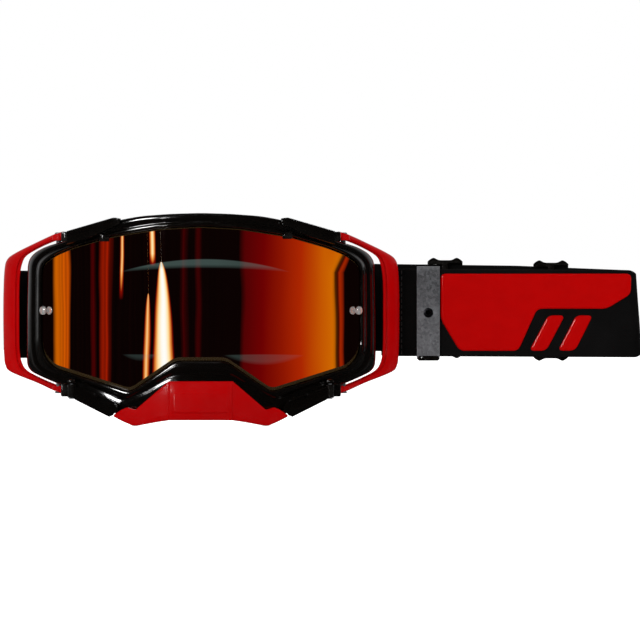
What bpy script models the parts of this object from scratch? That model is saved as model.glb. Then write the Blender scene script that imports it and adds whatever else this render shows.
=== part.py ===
"""Motocross goggles with a hinged outrigger on each side and a printed elastic strap.

Lengths are in millimetres and become metres when a mesh is made. -Y is the front, +Z is up
and +X is the side where the strap folds back. Left and right in the names are as seen from
the front, so right is +X. The origin is on the flat underside of the nose guard's shelf,
on the centre line and 11 mm behind its front edge.

Everything on the front follows one upright lens cylinder: skin_y() gives the depth of a
surface that lies a given offset in front of the lens, and outlines are drawn in X and Z.
"""
import math

import bmesh
import bpy
from mathutils import Matrix, Vector

MM = 0.001
GAP = 0.3

# Lens cylinder and the curve of the face side.
LENS_RADIUS = 95.0
LENS_FRONT_Y = -6.0
LENS_THICKNESS = 1.5
FACE_RADIUS = 108.0
FACE_Y = 22.0

# Right halves of the outlines in X and Z, from the top centre to the bottom centre.
FRAME_HALF = [
    (0.0, 98.2), (14.0, 97.8), (28.0, 96.8), (35.5, 95.3), (39.0, 93.4), (52.0, 88.8),
    (64.0, 84.6), (73.4, 81.6), (79.0, 77.8), (81.8, 71.5), (82.8, 50.0), (82.6, 29.3),
    (81.6, 25.6), (79.0, 23.2), (72.7, 19.8), (65.5, 17.1), (50.0, 10.2), (40.0, 6.0),
    (31.0, 5.2), (15.5, 12.0), (0.0, 13.0),
]
LENS_HALF = [
    (0.0, 91.7), (19.0, 90.6), (42.0, 87.0), (60.0, 81.9), (68.2, 78.6), (74.2, 74.2),
    (75.3, 70.5), (75.3, 35.5), (73.9, 30.0), (69.3, 24.9), (33.4, 13.6), (12.0, 28.3),
    (0.0, 28.3),
]
REAR_OUTER_HALF = [
    (0.0, 95.5), (28.0, 93.5), (52.0, 86.5), (66.0, 80.5), (75.0, 73.5), (78.2, 62.0),
    (78.6, 45.0), (77.0, 32.0), (71.0, 24.0), (56.0, 15.0), (42.0, 10.0), (33.0, 9.5),
    (24.0, 18.0), (13.0, 31.0), (0.0, 34.0),
]
REAR_INNER_HALF = [
    (0.0, 84.5), (28.0, 82.5), (50.0, 76.5), (60.0, 71.0), (65.0, 63.0), (66.0, 50.0),
    (65.5, 38.0), (60.0, 31.0), (50.0, 26.0), (42.0, 23.0), (34.0, 22.5), (27.0, 30.0),
    (15.0, 42.0), (0.0, 44.5),
]
RING_CENTRE_Z = 52.0
STATION_STEP = 6.0
STATION_CLEARANCE = 1.6

# Frame section, front to rear.
BEZEL_CREST = 1.4
BEZEL_EDGE = 0.4
BEZEL_LIP = 1.0
LENS_CLEARANCE = 0.35
SEAT_WIDTH = 4.0
GASKET_THICKNESS = 1.0
GASKET_GAP = 0.6
SEAT_THICKNESS = 2.2
WALL = 2.6
OUTER_WALL_DEPTH = 7.0
RIM_THICKNESS = 2.4

# Face foam.
FOAM_THICKNESS = 9.0
FLEECE_THICKNESS = 2.4
FOAM_INSET = 0.6
FOAM_GAP = 0.9

# Vents.
VENT_SLOT = (13.0, 5.0)
TOP_VENT_X = (-48.0, -24.0, 0.0, 24.0, 48.0)
BOTTOM_VENT_X = (47.0, 60.0)
VENT_FOAM_THICKNESS = 3.0
VENT_FOAM_DEPTH = 5.0

# Outriggers: a flat plate that runs back and out from its hinge.
ARM_START_X = 65.2
OUTRIGGER_FRONT_Y = 14.5
OUTRIGGER_START_X = 62.0
OUTRIGGER_SLOPE = 1.32
OUTRIGGER_DEPTH = 5.0
OUTRIGGER_OUTLINE = [
    (ARM_START_X, 89.5), (90.6, 80.2), (93.2, 77.2), (94.3, 50.0), (94.3, 29.0), (93.4, 25.0),
    (90.9, 22.9), (ARM_START_X, 12.4), (ARM_START_X, 15.6), (83.0, 23.4), (86.3, 28.5), (86.3, 73.5),
    (83.4, 79.2), (ARM_START_X, 86.1),
]
HINGE_X = 67.5
HINGE_Y = 24.3
KNUCKLE_RADIUS = 3.2
HINGE_PIN_RADIUS = 1.2
HINGE_HEAD_RADIUS = 1.9
HINGE_HEAD_HEIGHT = 0.9
HINGE_HEAD_SINK = 1.5
UPPER_KNUCKLE_Z = (85.3, 89.4)
LOWER_KNUCKLE_Z = (12.4, 16.0)
UPPER_PIN_FOOT_Z = 80.9
LOWER_PIN_TOP_Z = 22.2
STRAP_BAR_X = 89.0
STRAP_BAR_Y = 62.0
STRAP_BAR_RADIUS = 1.5
STRAP_BAR_Z = (26.5, 75.0)
STRAP_LUG_HEIGHT = 2.4
STRAP_LUG_REACH = 2.2
STRAP_LUG_ROOT = 7.9

# Lens latches.
LATCH_X = 61.3
LATCH_Y = 11.6
LATCH_BARREL_RADIUS = 1.9
LATCH_BARREL_Z = (10.6, 16.9)
LATCH_PIN_RADIUS = 0.8
LATCH_PIN_Z = (9.8, 19.6)
LATCH_SKIN = (1.9, 4.9)
LATCH_TOP = [(39.2, 6.2), (41.0, 9.0), (45.0, 11.4), (61.3, 16.7)]
LATCH_BOTTOM = [(39.2, 6.0), (43.4, 1.6), (47.0, 3.4), (59.0, 9.4), (61.3, 10.8)]

# Nose guard.
GUARD_TOP = [(0.0, 18.5), (15.5, 18.5), (30.3, 6.0), (37.4, 5.2), (41.2, 2.7)]
GUARD_BOTTOM = [(0.0, 0.0), (14.5, 0.0), (31.0, -2.8), (41.2, 1.6)]
GUARD_X = (0.0, 7.0, 14.5, 15.5, 22.0, 28.0, 30.3, 31.0, 34.0, 37.4, 41.2)
GUARD_SKIN = (1.9, 5.0)
GUARD_SHELF_DEPTH = 8.0
GUARD_SHELF_THICKNESS = 2.2
PEG_X = 18.0
PEG_Z = 13.2
PEG_RADIUS = 1.2

# Upper brackets.
BRACKET_TOP = [(38.0, 95.3), (41.0, 96.2), (63.6, 89.7)]
BRACKET_X = (38.0, 41.0, 46.0, 52.0, 57.0, 63.6)
BRACKET_SKIN = (1.9, 3.4)
BRACKET_LIP = 2.5
BRACKET_DEPTH = 13.0

# Tear-off posts on the lens.
POST_X = 72.0
POST_Z = 52.0
POST_RADIUS = 1.0
POST_HEAD_RADIUS = 2.0
POST_LENGTH = 5.0
POST_HEAD = 1.6
WASHER_RADIUS = 3.0
WASHER_THICKNESS = 0.8

# Strap.
STRAP_HEIGHT = 41.6
STRAP_THICKNESS = 1.5
STRAP_FRONT_Y = 64.5
STRAP_REAR_Y = 72.0
STRAP_START_X = 96.0
STRAP_FOLD_X = 203.2
STRAP_RISE = [(-83.0, 50.2), (80.0, 53.5), (150.0, 52.6), (180.0, 51.4), (203.2, 50.5)]
STRAP_FRONT_RISE = [(89.0, 51.1), (203.2, 50.5)]
LOOP_THICKNESS = 1.3
KEEPER_X = (102.6, 113.5)
KEEPER_WALL = 0.8
KEEPER_CLEARANCE = 0.4
EYELET_RADIUS = 1.9
EYELET_BORE = 1.0
EYELET_FLANGE = 2.9
PRINT_THICKNESS = 0.8
PRINT_X = (114.4, 205.0)
PRINT_Z = (32.8, 69.6)
GRIP_Z = {"upper": 59.0, "lower": 43.0}
GRIP_SIZE = (0.5, 2.0)
ADJUSTER_X = {"left": 116.1, "right": 166.5}
ADJUSTER_Z = {"left": 53.2, "right": 52.0}
ADJUSTER_WIDTH = 16.7
ADJUSTER_RAIL = 2.1
ADJUSTER_OPENING = 43.4
ADJUSTER_FRONT_Y = (69.3, 70.9)
ADJUSTER_REAR_Y = (74.35, 76.15)
ADJUSTER_BAR = 2.4
TAIL_THICKNESS = 1.0
TAIL_LENGTH = 9.0


# ---------------------------------------------------------------- materials

def material(name, colour, roughness, metallic=0.0, transmission=0.0):
    """A Principled material."""
    made = bpy.data.materials.new(name)
    made.use_nodes = True
    shader = made.node_tree.nodes["Principled BSDF"]
    shader.inputs["Base Color"].default_value = (*colour, 1.0)
    shader.inputs["Roughness"].default_value = roughness
    shader.inputs["Metallic"].default_value = metallic
    shader.inputs["Transmission Weight"].default_value = transmission
    return made


# ---------------------------------------------------------------- outlines

def whole(half):
    """The closed outline whose right half runs from the top centre to the bottom centre."""
    return half + [(-x, z) for x, z in reversed(half) if x > 0]


def offset_outline(outline, distance):
    """A clockwise outline moved outwards by a distance, with its corners kept sharp."""
    moved = []
    for index, (x, z) in enumerate(outline):
        before = outline[index - 1]
        after = outline[(index + 1) % len(outline)]
        first = Vector((before[1] - z, x - before[0])).normalized()
        second = Vector((z - after[1], after[0] - x)).normalized()
        step = (first + second) * (distance / (1.0 + first.dot(second)))
        moved.append((x + step.x, z + step.y))
    return moved


def height_at(points, x):
    """Height of an open line of (x, z) points at x, held level past its ends."""
    if x <= points[0][0]:
        return points[0][1]
    for (x0, z0), (x1, z1) in zip(points, points[1:]):
        if x <= x1 and x1 > x0:
            return z0 + (z1 - z0) * (x - x0) / (x1 - x0)
    return points[-1][1]


def upper_edge(half):
    """The part of a right half that runs outwards along the top."""
    widest = max(range(len(half)), key=lambda index: half[index][0])
    return half[:widest + 1]


def lower_edge(half):
    """The part of a right half that runs along the bottom, from the centre outwards."""
    widest = max(x for x, _ in half)
    last = max(index for index, point in enumerate(half) if point[0] == widest)
    return list(reversed(half[last:]))


def station_angle(x, z):
    """Angle of a point around the ring's centre, clockwise from straight up."""
    return math.degrees(math.atan2(x, z - RING_CENTRE_Z)) % 360.0


def ring_stations(*outlines):
    """Angles around the ring: every corner of the outlines, and even steps between them."""
    angles = []
    corners = [station_angle(x, z) for outline in outlines for x, z in outline]
    even = [STATION_STEP * step for step in range(int(360 / STATION_STEP))]
    for limit, group in ((0.4, corners), (STATION_CLEARANCE, even)):
        for angle in group:
            if all(abs((angle - other + 180.0) % 360.0 - 180.0) > limit for other in angles):
                angles.append(angle)
    return sorted(angles)


def ray_hit(outline, angle):
    """Where a ray from the ring's centre at this angle leaves the outline."""
    along = Vector((math.sin(math.radians(angle)), math.cos(math.radians(angle))))
    best = 0.0
    for index, end in enumerate(outline):
        start = outline[index - 1]
        edge = Vector((end[0] - start[0], end[1] - start[1]))
        across = along.x * edge.y - along.y * edge.x
        if abs(across) < 1e-9:
            continue
        to_start = Vector((start[0], start[1] - RING_CENTRE_Z))
        reach = (to_start.x * edge.y - to_start.y * edge.x) / across
        place = (to_start.x * along.y - to_start.y * along.x) / across
        if -1e-6 <= place <= 1.0 + 1e-6:
            best = max(best, reach)
    return along.x * best, RING_CENTRE_Z + along.y * best


def skin_y(x, offset):
    """Depth of the surface that lies this far in front of the lens cylinder."""
    radius = LENS_RADIUS + offset
    return LENS_FRONT_Y + LENS_RADIUS - math.sqrt(radius * radius - x * x)


def rear_y(x):
    """Depth of the frame's rear rim, which follows the face."""
    return FACE_Y + FACE_RADIUS - math.sqrt(FACE_RADIUS * FACE_RADIUS - x * x)


def skin_normal(x):
    """Direction that points out of the lens at x."""
    sine = x / LENS_RADIUS
    return Vector((sine, -math.sqrt(1.0 - sine * sine), 0.0))


# ---------------------------------------------------------------- meshes

def make_object(name, mesh_bm, look, origin=(0.0, 0.0, 0.0)):
    """An object from a bmesh in millimetres, with its origin at the given point."""
    bmesh.ops.recalc_face_normals(mesh_bm, faces=mesh_bm.faces)
    bmesh.ops.transform(mesh_bm, matrix=Matrix.Translation(-Vector(origin)), verts=mesh_bm.verts)
    bmesh.ops.scale(mesh_bm, vec=(MM, MM, MM), verts=mesh_bm.verts)
    mesh = bpy.data.meshes.new(name)
    mesh_bm.to_mesh(mesh)
    mesh_bm.free()
    mesh.materials.append(look)
    mesh.shade_smooth()
    mesh.set_sharp_from_angle(angle=math.radians(30.0))
    made = bpy.data.objects.new(name, mesh)
    made.location = Vector(origin) * MM
    bpy.context.scene.collection.objects.link(made)
    return made


def loft_mesh(sections, closed=False):
    """Skin a row of matching sections. An open row is capped at both ends."""
    mesh_bm = bmesh.new()
    rows = [[mesh_bm.verts.new(point) for point in section] for section in sections]
    count = len(rows[0])
    pairs = list(zip(rows, rows[1:]))
    if closed:
        pairs.append((rows[-1], rows[0]))
    for first, second in pairs:
        for index in range(count):
            after = (index + 1) % count
            mesh_bm.faces.new((first[index], first[after], second[after], second[index]))
    if not closed:
        mesh_bm.faces.new(rows[0])
        mesh_bm.faces.new(rows[-1])
    return mesh_bm


def box_mesh(low, high):
    """A block between two corners."""
    corners = [(low[1], low[2]), (high[1], low[2]), (high[1], high[2]), (low[1], high[2])]
    return loft_mesh([[(x, y, z) for y, z in corners] for x in (low[0], high[0])])


def disc_stack_mesh(centre, axis, rings, segments=24):
    """A turned solid: rings of (height along the axis, radius), from one end to the other."""
    turn = Vector((0.0, 0.0, 1.0)).rotation_difference(Vector(axis))
    sections = []
    for height, radius in rings:
        section = []
        for step in range(segments):
            angle = 2.0 * math.pi * step / segments
            point = Vector((radius * math.cos(angle), radius * math.sin(angle), height))
            section.append(Vector(centre) + turn @ point)
        sections.append(section)
    return loft_mesh(sections)


def ring_mesh(centre, axis, inner, outer, low, high, segments=24):
    """A turned ring with a round bore."""
    turn = Vector((0.0, 0.0, 1.0)).rotation_difference(Vector(axis))
    sections = []
    for step in range(segments):
        angle = 2.0 * math.pi * step / segments
        across = Vector((math.cos(angle), math.sin(angle), 0.0))
        points = [(inner, low), (outer, low), (outer, high), (inner, high)]
        sections.append([
            Vector(centre) + turn @ (across * radius + Vector((0.0, 0.0, height)))
            for radius, height in points
        ])
    return loft_mesh(sections, closed=True)


def plate_mesh(outline, front, back):
    """A plate with an outline in X and Z between two depth functions of x."""
    mesh_bm = bmesh.new()
    near = [mesh_bm.verts.new((x, front(x), z)) for x, z in outline]
    far = [mesh_bm.verts.new((x, back(x), z)) for x, z in outline]
    mesh_bm.faces.new(near)
    mesh_bm.faces.new(far)
    for index in range(len(outline)):
        before = index - 1
        mesh_bm.faces.new((near[before], near[index], far[index], far[before]))
    return mesh_bm


def ribbon_mesh(path, thickness):
    """A flat band: path points are (x, y, lowest z, highest z)."""
    sections = []
    for index, (x, y, low, high) in enumerate(path):
        before = path[max(index - 1, 0)]
        after = path[min(index + 1, len(path) - 1)]
        along = Vector((after[0] - before[0], after[1] - before[1])).normalized()
        side = Vector((-along.y, along.x)) * (thickness / 2.0)
        sections.append([
            (x - side.x, y - side.y, low), (x + side.x, y + side.y, low),
            (x + side.x, y + side.y, high), (x - side.x, y - side.y, high),
        ])
    return loft_mesh(sections)


def boolean(target, mesh_bm, operation):
    """Join or cut a shape with a hidden tool."""
    tool = make_object(f"tool_{len(bpy.data.objects)}", mesh_bm, target.data.materials[0])
    tool.hide_render = True
    tool.display_type = "WIRE"
    step = target.modifiers.new(operation.lower(), "BOOLEAN")
    step.operation = operation
    step.object = tool


# ---------------------------------------------------------------- frame

def build_frame(look):
    """The moulded frame: bezel, lens seat, side wall and rear rim."""
    outer = whole(FRAME_HALF)
    lens = whole(LENS_HALF)
    rear = whole(REAR_OUTER_HALF)
    lines = {
        "outer": outer,
        "lip": offset_outline(lens, LENS_CLEARANCE),
        "seat": offset_outline(lens, -SEAT_WIDTH),
        "wall": offset_outline(outer, -WALL),
        "rear": rear,
        "rear_wall": offset_outline(rear, -WALL),
        "rim": whole(REAR_INNER_HALF),
    }
    seat_offset = -(LENS_THICKNESS + GASKET_THICKNESS + 2.0 * GASKET_GAP)
    sections = []
    for angle in ring_stations(outer, lens):
        at = {key: ray_hit(line, angle) for key, line in lines.items()}
        crest = tuple((a + b) / 2.0 for a, b in zip(at["outer"], at["lip"]))
        places = [
            (at["outer"], skin_y(at["outer"][0], BEZEL_EDGE)),
            (crest, skin_y(crest[0], BEZEL_CREST)),
            (at["lip"], skin_y(at["lip"][0], BEZEL_LIP)),
            (at["lip"], skin_y(at["lip"][0], seat_offset)),
            (at["seat"], skin_y(at["seat"][0], seat_offset)),
            (at["seat"], skin_y(at["seat"][0], seat_offset) + SEAT_THICKNESS),
            (at["wall"], skin_y(at["wall"][0], seat_offset) + SEAT_THICKNESS),
            (at["rear_wall"], rear_y(at["rear_wall"][0]) - RIM_THICKNESS),
            (at["rim"], rear_y(at["rim"][0]) - RIM_THICKNESS),
            (at["rim"], rear_y(at["rim"][0])),
            (at["rear"], rear_y(at["rear"][0])),
            (at["outer"], skin_y(at["outer"][0], 0.0) + OUTER_WALL_DEPTH),
        ]
        sections.append([(x, y, z) for (x, z), y in places])
    frame = make_object("main_frame", loft_mesh(sections, closed=True), look)
    for side in (-1, 1):
        boolean(frame, latch_lug_mesh(side), "UNION")
    for mesh_bm in frame_cutters():
        boolean(frame, mesh_bm, "DIFFERENCE")
    return frame


def latch_lug_mesh(side):
    """The lug above a latch that holds the top of its pin."""
    edges = sorted((side * (LATCH_X - 1.9), side * (LATCH_X + 1.9)))
    return box_mesh((edges[0], LATCH_Y - 1.9, 17.3), (edges[1], LATCH_Y + 7.0, 20.4))


def frame_cutters():
    """Vent slots, hinge pin holes, latch pin holes and nose guard peg holes."""
    cutters = []
    width, depth = VENT_SLOT
    for x in TOP_VENT_X:
        middle = (skin_y(x, 0.0) + rear_y(x)) / 2.0 + 2.0
        top = height_at(upper_edge(FRAME_HALF), abs(x))
        cutters.append(box_mesh((x - width / 2.0, middle - depth / 2.0, top - 9.0),
                                (x + width / 2.0, middle + depth / 2.0, top + 5.0)))
    for side in (-1, 1):
        for x in BOTTOM_VENT_X:
            middle = (skin_y(x, 0.0) + rear_y(x)) / 2.0 + 2.0
            low = height_at(lower_edge(FRAME_HALF), x)
            cutters.append(box_mesh((side * x - width / 3.0, middle - depth / 3.0, low - 5.0),
                                    (side * x + width / 3.0, middle + depth / 3.0, low + 6.5)))
        hole = HINGE_PIN_RADIUS + GAP
        place = (side * HINGE_X, HINGE_Y, 0.0)
        cutters.append(disc_stack_mesh(place, (0, 0, 1), [(80.6, hole), (90.0, hole)]))
        cutters.append(disc_stack_mesh(place, (0, 0, 1), [(10.0, hole), (22.5, hole)]))
        hole = LATCH_PIN_RADIUS + GAP
        place = (side * LATCH_X, LATCH_Y, 0.0)
        cutters.append(disc_stack_mesh(place, (0, 0, 1), [(10.0, hole), (19.9, hole)]))
        hole = PEG_RADIUS + GAP
        place = (side * PEG_X, 0.0, PEG_Z)
        cutters.append(disc_stack_mesh(place, (0, 1, 0), [(-9.0, hole), (2.0, hole)]))
    return cutters


def build_face_foam(base_look, fleece_look):
    """The open-cell foam ring on the rear rim and the fleece that touches the face."""
    outer = offset_outline(whole(REAR_OUTER_HALF), -FOAM_INSET)
    inner = offset_outline(whole(REAR_INNER_HALF), FOAM_INSET)
    layers = [
        ("face_foam_base", FOAM_GAP, FOAM_THICKNESS, base_look),
        ("face_foam_fleece", FOAM_THICKNESS + 2.0 * FOAM_GAP, FLEECE_THICKNESS,
         fleece_look),
    ]
    for name, start, thickness, look in layers:
        sections = []
        for angle in ring_stations(outer):
            far = ray_hit(outer, angle)
            near = ray_hit(inner, angle)
            sections.append([
                (far[0], rear_y(far[0]) + start, far[1]),
                (near[0], rear_y(near[0]) + start, near[1]),
                (near[0], rear_y(near[0]) + start + thickness, near[1]),
                (far[0], rear_y(far[0]) + start + thickness, far[1]),
            ])
        make_object(name, loft_mesh(sections, closed=True), look)


def wall_height(x, y, edge_of):
    """Inner height of the frame's top or bottom wall at x and y."""
    front = height_at(edge_of(FRAME_HALF), abs(x))
    rear = height_at(edge_of(REAR_OUTER_HALF), abs(x))
    start = skin_y(x, 0.0) + OUTER_WALL_DEPTH
    share = (y - start) / (rear_y(x) - start)
    return front + (rear - front) * min(max(share, 0.0), 1.0)


def build_vent_foam(name, start, end, edge_of, inward, look):
    """A strip of filter foam that lies against the inside of the vented wall."""
    sections = []
    steps = 12
    for step in range(steps + 1):
        x = start + (end - start) * step / steps
        front = skin_y(x, 0.0) + OUTER_WALL_DEPTH + 2.5
        rear = rear_y(x) - RIM_THICKNESS - 1.2
        section = []
        for y, extra in ((front, 0.0), (rear, 0.0), (rear, VENT_FOAM_THICKNESS),
                         (front, VENT_FOAM_THICKNESS)):
            depth = VENT_FOAM_DEPTH + extra
            section.append((x, y, wall_height(x, y, edge_of) + inward * depth))
        sections.append(section)
    make_object(name, loft_mesh(sections), look)


# ---------------------------------------------------------------- lens

def lens_stations():
    """Lateral positions across the lens: its corners and even steps."""
    corners = [side * x for x, _ in LENS_HALF for side in (-1, 1)]
    steps = [4.0 * step for step in range(-18, 19)]
    places = []
    for x in sorted(set(corners)):
        places.append(x)
    for x in steps:
        if all(abs(x - other) > 1.2 for other in places):
            places.append(x)
    return sorted(places)


def build_lens(look):
    """The single cylindrical lens."""
    top = upper_edge(LENS_HALF)
    bottom = lower_edge(LENS_HALF)
    sections = []
    for x in lens_stations():
        low = height_at(bottom, abs(x))
        high = height_at(top, abs(x))
        front = skin_y(x, 0.0)
        back = skin_y(x, -LENS_THICKNESS)
        sections.append([(x, front, low), (x, front, high), (x, back, high), (x, back, low)])
    lens = make_object("lens", loft_mesh(sections), look)
    for side in (-1, 1):
        normal = skin_normal(side * POST_X)
        place = (side * POST_X, skin_y(POST_X, 0.0), POST_Z)
        hole = POST_RADIUS + GAP
        boolean(lens, disc_stack_mesh(place, normal, [(-6.0, hole), (4.0, hole)]), "DIFFERENCE")


def build_gasket(look):
    """The foam seal between the lens and its seat."""
    outer = offset_outline(whole(LENS_HALF), -0.6)
    inner = offset_outline(whole(LENS_HALF), -SEAT_WIDTH + 0.6)
    front = -(LENS_THICKNESS + GASKET_GAP)
    back = front - GASKET_THICKNESS
    sections = []
    for angle in ring_stations(outer):
        far = ray_hit(outer, angle)
        near = ray_hit(inner, angle)
        sections.append([
            (far[0], skin_y(far[0], front), far[1]), (near[0], skin_y(near[0], front), near[1]),
            (near[0], skin_y(near[0], back), near[1]), (far[0], skin_y(far[0], back), far[1]),
        ])
    make_object("lens_gasket", loft_mesh(sections, closed=True), look)


def build_post(side, label, post_look, washer_look):
    """A mushroom post for tear-off films, and the washer that holds it from inside."""
    normal = skin_normal(side * POST_X)
    place = Vector((side * POST_X, skin_y(POST_X, 0.0), POST_Z))
    neck = POST_LENGTH - POST_HEAD
    rings = [
        (-1.9, POST_RADIUS), (GAP, POST_RADIUS), (GAP, POST_RADIUS + 0.8),
        (GAP + 0.8, POST_RADIUS + 0.8), (GAP + 0.9, POST_RADIUS), (neck, POST_RADIUS),
        (neck + 0.2, POST_HEAD_RADIUS), (POST_LENGTH - 0.4, POST_HEAD_RADIUS),
        (POST_LENGTH, POST_HEAD_RADIUS - 0.5),
    ]
    make_object(f"tearoff_post_{label}", disc_stack_mesh(place, normal, rings), post_look)
    low = -LENS_THICKNESS - GAP - 0.4 - WASHER_THICKNESS
    washer = ring_mesh(place, normal, POST_RADIUS + GAP, WASHER_RADIUS - 0.6, low,
                       low + WASHER_THICKNESS)
    make_object(f"tearoff_washer_{label}", washer, washer_look)


# ---------------------------------------------------------------- front fittings

def build_guard(look):
    """The nose guard: a facetted front plate with a shelf turned back under the frame."""
    positions = sorted({side * x for x in GUARD_X for side in (-1, 1)})
    sections = []
    for x in positions:
        top = height_at(GUARD_TOP, abs(x))
        low = height_at(GUARD_BOTTOM, abs(x))
        inner = skin_y(x, GUARD_SKIN[0])
        outer = skin_y(x, GUARD_SKIN[1])
        shelf = low + min(GUARD_SHELF_THICKNESS, (top - low) / 2.0)
        reach = 1.0 - max(0.0, abs(x) - 14.5) / (41.2 - 14.5)
        back = inner + 0.5 + GUARD_SHELF_DEPTH * reach
        sections.append([
            (x, outer, top), (x, outer, low), (x, back, low),
            (x, back, shelf), (x, inner, shelf), (x, inner, top),
        ])
    guard = make_object("nose_guard", loft_mesh(sections), look)
    for side in (-1, 1):
        place = (side * PEG_X, 0.0, PEG_Z)
        hole = PEG_RADIUS + GAP
        front = skin_y(PEG_X, GUARD_SKIN[0]) - 1.4
        boolean(guard, disc_stack_mesh(place, (0, 1, 0), [(front, hole), (3.0, hole)]),
                "DIFFERENCE")


def build_peg(side, label, look):
    """A press peg that holds the nose guard to the frame."""
    front = skin_y(PEG_X, GUARD_SKIN[0]) - 1.4 + GAP
    rings = [(front, PEG_RADIUS), (1.2, PEG_RADIUS), (1.6, PEG_RADIUS - 0.4)]
    mesh_bm = disc_stack_mesh((side * PEG_X, 0.0, PEG_Z), (0, 1, 0), rings)
    make_object(f"nose_guard_peg_{label}", mesh_bm, look)


def build_bracket(side, label, look):
    """The bracket on the frame's top edge that carries the line of the arm inwards."""
    sections = []
    for x in BRACKET_X:
        top = height_at(BRACKET_TOP, x)
        low = height_at(upper_edge(FRAME_HALF), x) + GAP + 0.1
        inner = skin_y(x, BRACKET_SKIN[0])
        outer = skin_y(x, BRACKET_SKIN[1])
        back = skin_y(x, 0.0) + BRACKET_DEPTH
        sections.append([
            (side * x, outer, top), (side * x, outer, low - BRACKET_LIP),
            (side * x, inner, low - BRACKET_LIP), (side * x, inner, low),
            (side * x, back, low), (side * x, back, top),
        ])
    make_object(f"upper_bracket_{label}", loft_mesh(sections), look)


def build_latch(side, label, look):
    """A lens latch, hinged at its outer end."""
    places = sorted({x for x, _ in LATCH_TOP + LATCH_BOTTOM} | {51.0, 55.0})
    sections = []
    for x in places:
        top = height_at(LATCH_TOP, x)
        low = height_at(LATCH_BOTTOM, x)
        inner = skin_y(x, LATCH_SKIN[0])
        outer = skin_y(x, LATCH_SKIN[1])
        section = [(outer, top), (outer, low), (inner, low), (inner, top)]
        sections.append([(side * x, y, z) for y, z in section])
    origin = (side * LATCH_X, LATCH_Y, LATCH_BARREL_Z[0])
    latch = make_object(f"lens_latch_{label}", loft_mesh(sections), look, origin)
    place = (side * LATCH_X, LATCH_Y, 0.0)
    low, high = LATCH_BARREL_Z
    barrel = disc_stack_mesh(place, (0, 0, 1), [(low, LATCH_BARREL_RADIUS),
                                                (high, LATCH_BARREL_RADIUS)])
    hole = LATCH_PIN_RADIUS + GAP
    bore = disc_stack_mesh(place, (0, 0, 1), [(low - 5.0, hole), (high + 5.0, hole)])
    boolean(latch, barrel, "UNION")
    boolean(latch, bore, "DIFFERENCE")


def build_latch_pin(side, label, look):
    """The upright pin of a lens latch."""
    low, high = LATCH_PIN_Z
    rings = [(low - 0.6, LATCH_PIN_RADIUS + 0.6), (low, LATCH_PIN_RADIUS + 0.6),
             (low, LATCH_PIN_RADIUS), (high, LATCH_PIN_RADIUS)]
    mesh_bm = disc_stack_mesh((side * LATCH_X, LATCH_Y, 0.0), (0, 0, 1), rings, 16)
    make_object(f"latch_pin_{label}", mesh_bm, look)


# ---------------------------------------------------------------- outriggers

def outrigger_y(x):
    """Depth of the outrigger plate's front face."""
    return OUTRIGGER_FRONT_Y + OUTRIGGER_SLOPE * (abs(x) - OUTRIGGER_START_X)


def build_outrigger(side, label, look):
    """A hinged C-shaped outrigger with a bar for the strap behind it."""
    outline = [(side * x, z) for x, z in OUTRIGGER_OUTLINE]
    origin = (side * HINGE_X, HINGE_Y, UPPER_KNUCKLE_Z[0])
    plate = plate_mesh(outline, outrigger_y, lambda x: outrigger_y(x) + OUTRIGGER_DEPTH)
    body = make_object(f"outrigger_{label}", plate, look, origin)
    hinge = (side * HINGE_X, HINGE_Y, 0.0)
    for low, high in (UPPER_KNUCKLE_Z, LOWER_KNUCKLE_Z):
        knuckle = [(low, KNUCKLE_RADIUS), (high, KNUCKLE_RADIUS)]
        boolean(body, disc_stack_mesh(hinge, (0, 0, 1), knuckle), "UNION")
    low, high = STRAP_BAR_Z
    bar = (side * STRAP_BAR_X, STRAP_BAR_Y, 0.0)
    for start, end in ((low, low + STRAP_LUG_HEIGHT), (high - STRAP_LUG_HEIGHT, high)):
        edges = sorted((side * (STRAP_BAR_X - 2.2), side * (STRAP_BAR_X + 2.2)))
        lug = box_mesh((edges[0], STRAP_BAR_Y - STRAP_LUG_ROOT, start),
                       (edges[1], STRAP_BAR_Y + STRAP_LUG_REACH, end))
        boolean(body, lug, "UNION")
    rings = [(low + 1.0, STRAP_BAR_RADIUS), (high - 1.0, STRAP_BAR_RADIUS)]
    boolean(body, disc_stack_mesh(bar, (0, 0, 1), rings), "UNION")
    hole = HINGE_PIN_RADIUS + GAP
    sink = HINGE_HEAD_RADIUS + GAP
    low, high = UPPER_KNUCKLE_Z
    upper = [(low - 3.0, hole), (high - HINGE_HEAD_SINK, hole),
             (high - HINGE_HEAD_SINK, sink), (high + 3.0, sink)]
    low, high = LOWER_KNUCKLE_Z
    lower = [(low - 3.0, sink), (low + HINGE_HEAD_SINK, sink),
             (low + HINGE_HEAD_SINK, hole), (high + 3.0, hole)]
    for bore in (upper, lower):
        boolean(body, disc_stack_mesh(hinge, (0, 0, 1), bore), "DIFFERENCE")


def build_hinge_pins(side, label, look):
    """The two headed pins that hold an outrigger to the frame."""
    hinge = (side * HINGE_X, HINGE_Y, 0.0)
    head = UPPER_KNUCKLE_Z[1] - HINGE_HEAD_SINK + GAP
    upper = [(UPPER_PIN_FOOT_Z, HINGE_PIN_RADIUS), (head, HINGE_PIN_RADIUS),
             (head, HINGE_HEAD_RADIUS), (head + HINGE_HEAD_HEIGHT, HINGE_HEAD_RADIUS)]
    head = LOWER_KNUCKLE_Z[0] + HINGE_HEAD_SINK - GAP
    lower = [(head - HINGE_HEAD_HEIGHT, HINGE_HEAD_RADIUS), (head, HINGE_HEAD_RADIUS),
             (head, HINGE_PIN_RADIUS), (LOWER_PIN_TOP_Z, HINGE_PIN_RADIUS)]
    for level, rings in (("upper", upper), ("lower", lower)):
        mesh_bm = disc_stack_mesh(hinge, (0, 0, 1), rings)
        make_object(f"outrigger_pin_{level}_{label}", mesh_bm, look)


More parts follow.
